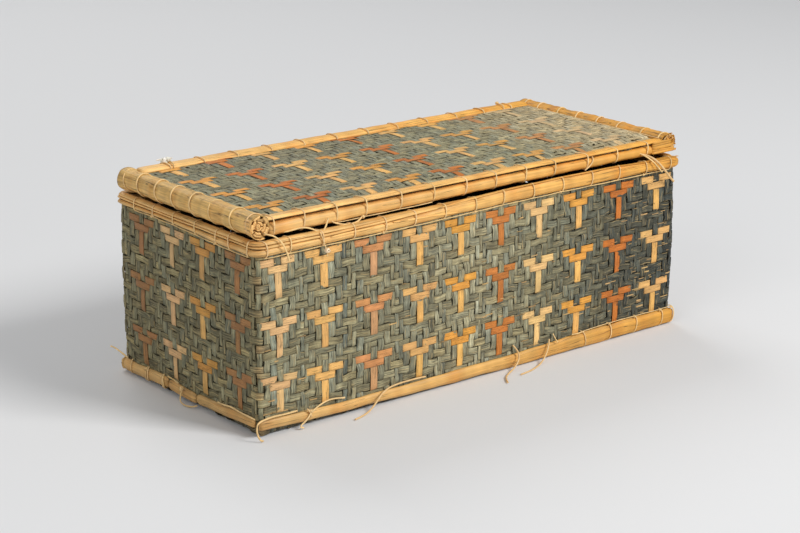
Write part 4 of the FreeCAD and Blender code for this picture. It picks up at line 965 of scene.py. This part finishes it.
for side, way in (("left", -1), ("right", 1)):
    run = np.linspace(-bundle_half, bundle_half, 112)
    line = np.stack([np.full(len(run), way * bundle_x), run, np.full(len(run), bundle_z)], 1)
    end = bundle_half - np.abs(run)
    swell = 1 - sum(.055 * np.exp(-((run - place) / 1.9) ** 2) for place in bundle_places)
    swell += .05 * np.exp(-(end / 3.2) ** 2) + wander(run, rng, .015, 21)
    seam = -20 if side == "left" else 200
    bark = curled(1.0, .86, seam + 352, seam + 8, 32, .008, rng)
    bark = cane_section(bark, run, rng, .05)
    # The bark darker towards its open ends; the left bundle darker and warmer as painted shade.
    shade = cane_tone(line, rng, 1.0) * np.interp(end, [0, 2, 7], [.85, .95, 1])[:, None]
    shade = shade * ((.93, .95, .86) if side == "left" else (1, 1, 1))
    pressed = pressed_flat(way, run)
    line[:, 2] += pressed_rise * (1 - pressed)
    reach = (bundle_radius - .15) * swell
    parts = [sweep(line, (0, 0, 1), reach, reach * pressed, bark, shade, rng.uniform(0, 900))]
    if side == "left":
        lip = np.array([(-bundle_x, y, bundle_z) for y in (-75.4, -73.6, -70, -66)])
        opened, loose_edge = [1.08, 1.04, .99, .93], curled(7.35, 6.75, 140, 292, 16, .04, rng)
        parts.append(sweep(lip, (0, 0, 1), opened, opened, loose_edge, tint(234, 184, 112), 11))
    make_piece("lid_" + side + "_sleeve_rolled", parts, bundle_finish, "lid",
               "lid_" + side + "_sleeve")
    reeds = []
    layers = [(5.95, 1.25, 5), (4.5, 1.2, 4), (3.1, 1.15, 3), (1.75, 1.1, 2), (.6, .5, 1)]
    for finish_at in (-1, 1):
        for outer, thick, pieces in layers:
            turned = rng.uniform(0, 360)
            for k in range(pieces):
                spread = 360 / pieces
                start = turned + k * spread + rng.uniform(4, 14)
                reach = start + spread - rng.uniform(8, 26)
                outline = curled(outer, max(outer - thick, .1), start, reach, 7, .09, rng)
                outline += rng.normal(0, .16, 2)
                flare = 1.14 if outer > 5 else 1.08
                deep = bundle_half + (rng.uniform(.2, 1.2) if outer > 5 else rng.uniform(-1.6, .9))
                at = [finish_at * (bundle_half - 10), finish_at * (deep - .6), finish_at * deep]
                flat = pressed_flat(way, finish_at * bundle_half)
                height = bundle_z + pressed_rise * (1 - flat)
                core = np.array([(way * bundle_x, y, height) for y in at])
                tone = tint(234, 186, 118) * rng.uniform(.75, 1.15)
                # Painted shade: each reed darker the deeper it lies inside the bundle, in the
                # hollows between the reeds.
                tone = tone * np.array([[.5], [.85], [1.08]])
                spread_out = np.array([1, 1, flare])
                reeds.append(sweep(core, (0, 0, 1), spread_out, flat * spread_out, outline, tone,
                                   rng.uniform(0, 900)))
    if side == "right":
        for _ in range(46):
            angle, reach = rng.uniform(0, 2 * math.pi), 6.9 * math.sqrt(rng.uniform(.15, 1))
            x, z = bundle_x + reach * math.cos(angle), bundle_z + .9 + .83 * reach * math.sin(angle)
            bent = rng.normal(0, .7, 2)
            frayed = [(x, -66, z), (x, -73.2, z),
                      (x + bent[0], -74.4 - rng.uniform(0, 1.6), z + bent[1])]
            reeds.append(cane(frayed, (math.cos(angle), 0, math.sin(angle)), rng.uniform(.9, 2.4),
                              .5, full_round, rng, rng.uniform(.75, 1.12), 0))
    make_piece("lid_" + side + "_core_reeds_shaped", reeds, bundle_finish, "lid",
               "lid_" + side + "_core_reeds")


# The lid's lashings: the same flat fibre, wound round each long edge and each bundle
# and through the mat. Loose tails of it hang under the front edge.
def lid_frame(way):
    """Places round a long edge of the lid, from its lashings' lowest to their highest."""
    def place(s, out, share):
        x = s if way < 0 else -s
        low, high = lid_edge(x, way)[0] - .4, lid_edge(x, way)[3] + .45
        middle = lid_reed_y + (lid_front_set_out if way < 0 else 0)
        return (x, way * (middle + out), low + share * (high - low))
    return place


lid_frames = {"front": lid_frame(-1), "back": lid_frame(1)}
lid_outline = [(0, 1), (3.2, .99), (5.1, .92), (5.6, .72), (5.6, .45), (5.1, .2), (3.2, .03),
               (0, 0), (-3.2, .03), (-5.1, .2), (-5.6, .45), (-5.6, .72), (-5.0, .92), (-3.2, .99)]
# Loose tails under the front edge, from left to right.
lid_tails = [[(-168.6, -74.8, 126.4), (-164.7, -79.2, 125.4), (-161.1, -82.2, 121.2),
              (-157.7, -82.6, 112.6), (-156.9, -82.4, 109.8)],
             [(-156.0, -73.4, 125.2), (-151.8, -74.6, 125.0), (-139.2, -75.2, 126.2),
              (-130.8, -78.2, 121.4), (-127.6, -78.4, 122.6), (-123.4, -76.4, 128.6)],
             [(-120.6, -73.6, 126.6), (-117.8, -75.6, 124.4), (-110.2, -77.0, 122.4),
              (-101.5, -76.8, 122.4), (-95.6, -74.4, 125.2)],
             [(100.4, -72.4, 133.0), (99.4, -75.4, 130.6), (96.1, -75.8, 127.2),
              (91.8, -75.2, 124.6)],
             [(143.6, -73.6, 128.6), (146.0, -77.4, 127.2), (150.4, -82.0, 123.0),
              (155.2, -82.8, 117.6), (158.6, -82.6, 114.6)]]
lid_places = {"front": [-162.5, -141.1, -116.8, -93.8, -66.9, -40.1, -13.6, 11.9, 37.2, 63, 93.2,
                        121.4, 150.4],
              "back": [-149.3 + 27 * k for k in range(12)]}
for side, places in lid_places.items():
    parts = [turn_round(lid_outline, place, lid_frames[side], rng) for place in places]
    parts.append(running(places[2:6] if side == "front" else places, [.06] * 12, 4.3,
                         lid_frames[side], rng, .03))
    if side == "front":
        parts += [strand(tail, 1.05, .85, rng) for tail in lid_tails]
        parts += knot((-96.0, -75.0, 124.6), 1.1, rng)
    wound("lid_lashing_" + side, parts, "lid")
for side, way in (("left", -1), ("right", 1)):
    def bundle_frame(s, out, z, way=way):
        flat = pressed_flat(way, s)
        return (way * bundle_x + way * out, s, bundle_z + pressed_rise * (1 - flat) + z * flat)
    ring = [((bundle_radius + .12) * math.cos(t), (bundle_radius + .12) * math.sin(t))
            for t in np.linspace(0, 2 * math.pi, 15)[:-1]]
    parts = [turn_round(ring, place, bundle_frame, rng, 2.2, 1.25, .8) for place in bundle_places]
    turns = [place + shift for place in bundle_places for shift in (-.4, .4)]
    inner = [(way * (bundle_x - (bundle_radius + .1) * .9), s, bundle_z + 4.2) for s in turns]
    parts.append(strand(inner, .8, .55, rng))
    wound("lid_lashing_" + side, parts, "lid")

# The hinge ties: two loops of fibre through the lid's back edge and the rim, slack
# enough to let the lid lie back.
for name, x in (("hinge_tie_left", -143), ("hinge_tie_right", 143)):
    loop = [(x - 1, 62.6, 137.6), (x - .6, 65, 138.9), (x, 70, 139.0), (x + .6, 74.0, 136.2),
            (x + .8, 76.6, 130), (x + .8, 79.4, 124), (x + .7, 80.5, 119), (x + .6, 80.3, 114),
            (x + .3, 78.8, 110.4), (x, 76.2, 109.5), (x - .5, 73.2, 112), (x - .9, 69.6, 118),
            (x - 1.1, 65.8, 124), (x - 1.2, 62.6, 131)]
    parts = [strand(loop, 1.1, .7, rng, closed=True)]
    white = (238, 234, 222)
    if x < 0:
        parts += knot((x - 2.6, 71.8, 139.2), 2.1, rng, white)
        parts += knot((x - .2, 71.2, 139.8), 1.7, rng, white)
        for tip in ((-6.2, 2.6, 1.4), (3.6, -1.6, 2.6), (4.4, 1.8, .6), (-3.8, -2.2, 2.4)):
            parts.append(strand([(x - 1.6, 71.6, 139.6),
                                 (x - 1 + tip[0] * .6, 71.6 + tip[1] * .5, 140.4),
                                 (x - 1 + tip[0], 71.6 + tip[1], 138.3 + tip[2])],
                                1.0, .8, rng, white))
    else:
        parts += knot((x, 71.6, 139.0), 1.2, rng)
    tie = make_piece(name + "_knotted", parts, thread_finish, None, name)
    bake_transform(tie)

# The loose ends: the closing tie hangs from the lid's right end, and three long
# threads of the base lashing have come away and lie on the table.
loose = {
    "closing_tie_cord": (1.6, "lid", 35.7, "knot", [
        (147.1, -73.9, 127), (149.2, -77.2, 126.4), (152.6, -80.8, 124.2), (157, -82.5, 119.8),
        (161.6, -82.9, 114.9), (165.8, -83, 110.0), (170.2, -82.8, 106.2)]),
    "loose_thread_near": (1.1, "box", 68.9, "bare", [
        (-49, -79, 11.2), (-63, -79.3, 11.9), (-77, -79.5, 11.4), (-86, -81.9, 10),
        (-91.5, -83.3, 6), (-97, -84.5, 2), (-105, -87.5, 0.7), (-114, -89.7, 0.8)]),
    "loose_thread_middle": (1.1, "box", 43.6, "bare", [
        (26.2, -79, 16), (30.2, -80.7, 11.4), (28.3, -83.2, 6), (22.4, -84.5, 1.8),
        (14.2, -87.7, 0.7), (7.8, -92.7, 0.7), (4, -99.3, 0.8)]),
    "loose_thread_right": (1.1, "box", 45.8, "bare", [
        (59.2, -79.1, 13.2), (56.6, -81.5, 10), (52.4, -83.6, 4.8), (46.4, -85.8, 1.2),
        (38, -89.5, 0.7), (29.4, -92.3, 0.7), (20.8, -93.4, 0.8)])}
cord_finish = bpy.data.materials.new("loose_tying_fibre")
cord_finish.use_nodes = True
tree = cord_finish.node_tree
where = add_node(tree, "TexCoord", {}).outputs["Object"]
mottle = add_node(tree, "TexNoise", {"Vector": where, "Scale": 420, "Detail": 4}).outputs["Fac"]
blend = add_node(tree, "Mix", {"Factor": mottle, "A": (*tint(196, 150, 92), 1),
                               "B": (*tint(242, 208, 150), 1)}, data_type="RGBA")
feed(tree, tree.nodes["Principled BSDF"], {"Base Color": blend.outputs["Result"],
                                           "Roughness": .55})
for name, (diameter, body, length, far_end, route) in loose.items():
    curve = bpy.data.curves.new(name + "_lying", "CURVE")
    curve.dimensions = "3D"
    curve.bevel_depth = diameter / 2 * MM
    curve.bevel_resolution = 3
    curve.resolution_u = 12
    curve.use_fill_caps = True
    spline = curve.splines.new("NURBS")
    spline.points.add(len(route) - 1)
    for point, place in zip(spline.points, route):
        point.co = (*(c * MM for c in place), 1)
    spline.order_u = 3
    spline.use_endpoint_u = True
    curve.materials.append(cord_finish)
    cord = bpy.data.objects.new(name + "_lying", curve)
    bpy.context.scene.collection.objects.link(cord)
    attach(cord, body)
    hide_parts(name)

# The table, the lamps and the camera: a pale floor under soft studio light, seen
# from the near left corner, a little above the lid.
bpy.ops.mesh.primitive_plane_add(size=14, location=(0, 0, 0))
floor = bpy.context.object
floor.name = "studio_floor"
pale = bpy.data.materials.new("studio_floor")
pale.use_nodes = True
feed(pale.node_tree, pale.node_tree.nodes["Principled BSDF"],
     {"Base Color": (.72, .72, .72, 1), "Roughness": .9})
floor.data.materials.append(pale)


def lamp(name, place, size, power):
    light = bpy.data.lights.new(name, "AREA")
    light.shape, light.size, light.energy = "SQUARE", size, power
    holder = bpy.data.objects.new(name, light)
    holder.location = place
    aim = Vector((0, 0, .06)) - Vector(place)
    holder.rotation_euler = aim.to_track_quat("-Z", "Y").to_euler()
    bpy.context.scene.collection.objects.link(holder)


lamp("key_light", (.9, -2.0, 1.7), .9, 60)
lamp("fill_light", (-2.2, -.7, 1.2), 1.6, 16)
lamp("back_light", (.3, 1.9, 1.9), 1.4, 22)
world = bpy.data.worlds.new("studio")
bpy.context.scene.world = world
world.use_nodes = True
feed(world.node_tree, world.node_tree.nodes["Background"],
     {"Color": (.9, .92, .95, 1), "Strength": .32})
bpy.context.scene.view_settings.view_transform = "Standard"

azimuth, elevation, roll = math.radians(-38.843), math.radians(16.86), math.radians(.085)
focal_pixels, shift_right, shift_up, distance = 1946.56, -4.992, 54.439, 1339.79
back = Vector((math.sin(azimuth) * math.cos(elevation), -math.cos(azimuth) * math.cos(elevation),
               math.sin(elevation)))
right = (-back).cross(Vector((0, 0, 1))).normalized()
up = right.cross(-back)
camera = bpy.data.objects.new("camera", bpy.data.cameras.new("camera"))
camera.data.sensor_width = 36
camera.data.lens = focal_pixels * 36 / 800
camera.data.clip_start, camera.data.clip_end = .05, 50
turned = Matrix.Rotation(roll, 3, back)
columns = [turned @ right, turned @ up, back]
place = (right * shift_right + up * shift_up + back * distance) * MM
camera.matrix_world = Matrix.Translation(place) @ Matrix(columns).transposed().to_4x4()
bpy.context.scene.collection.objects.link(camera)
bpy.context.scene.camera = camera
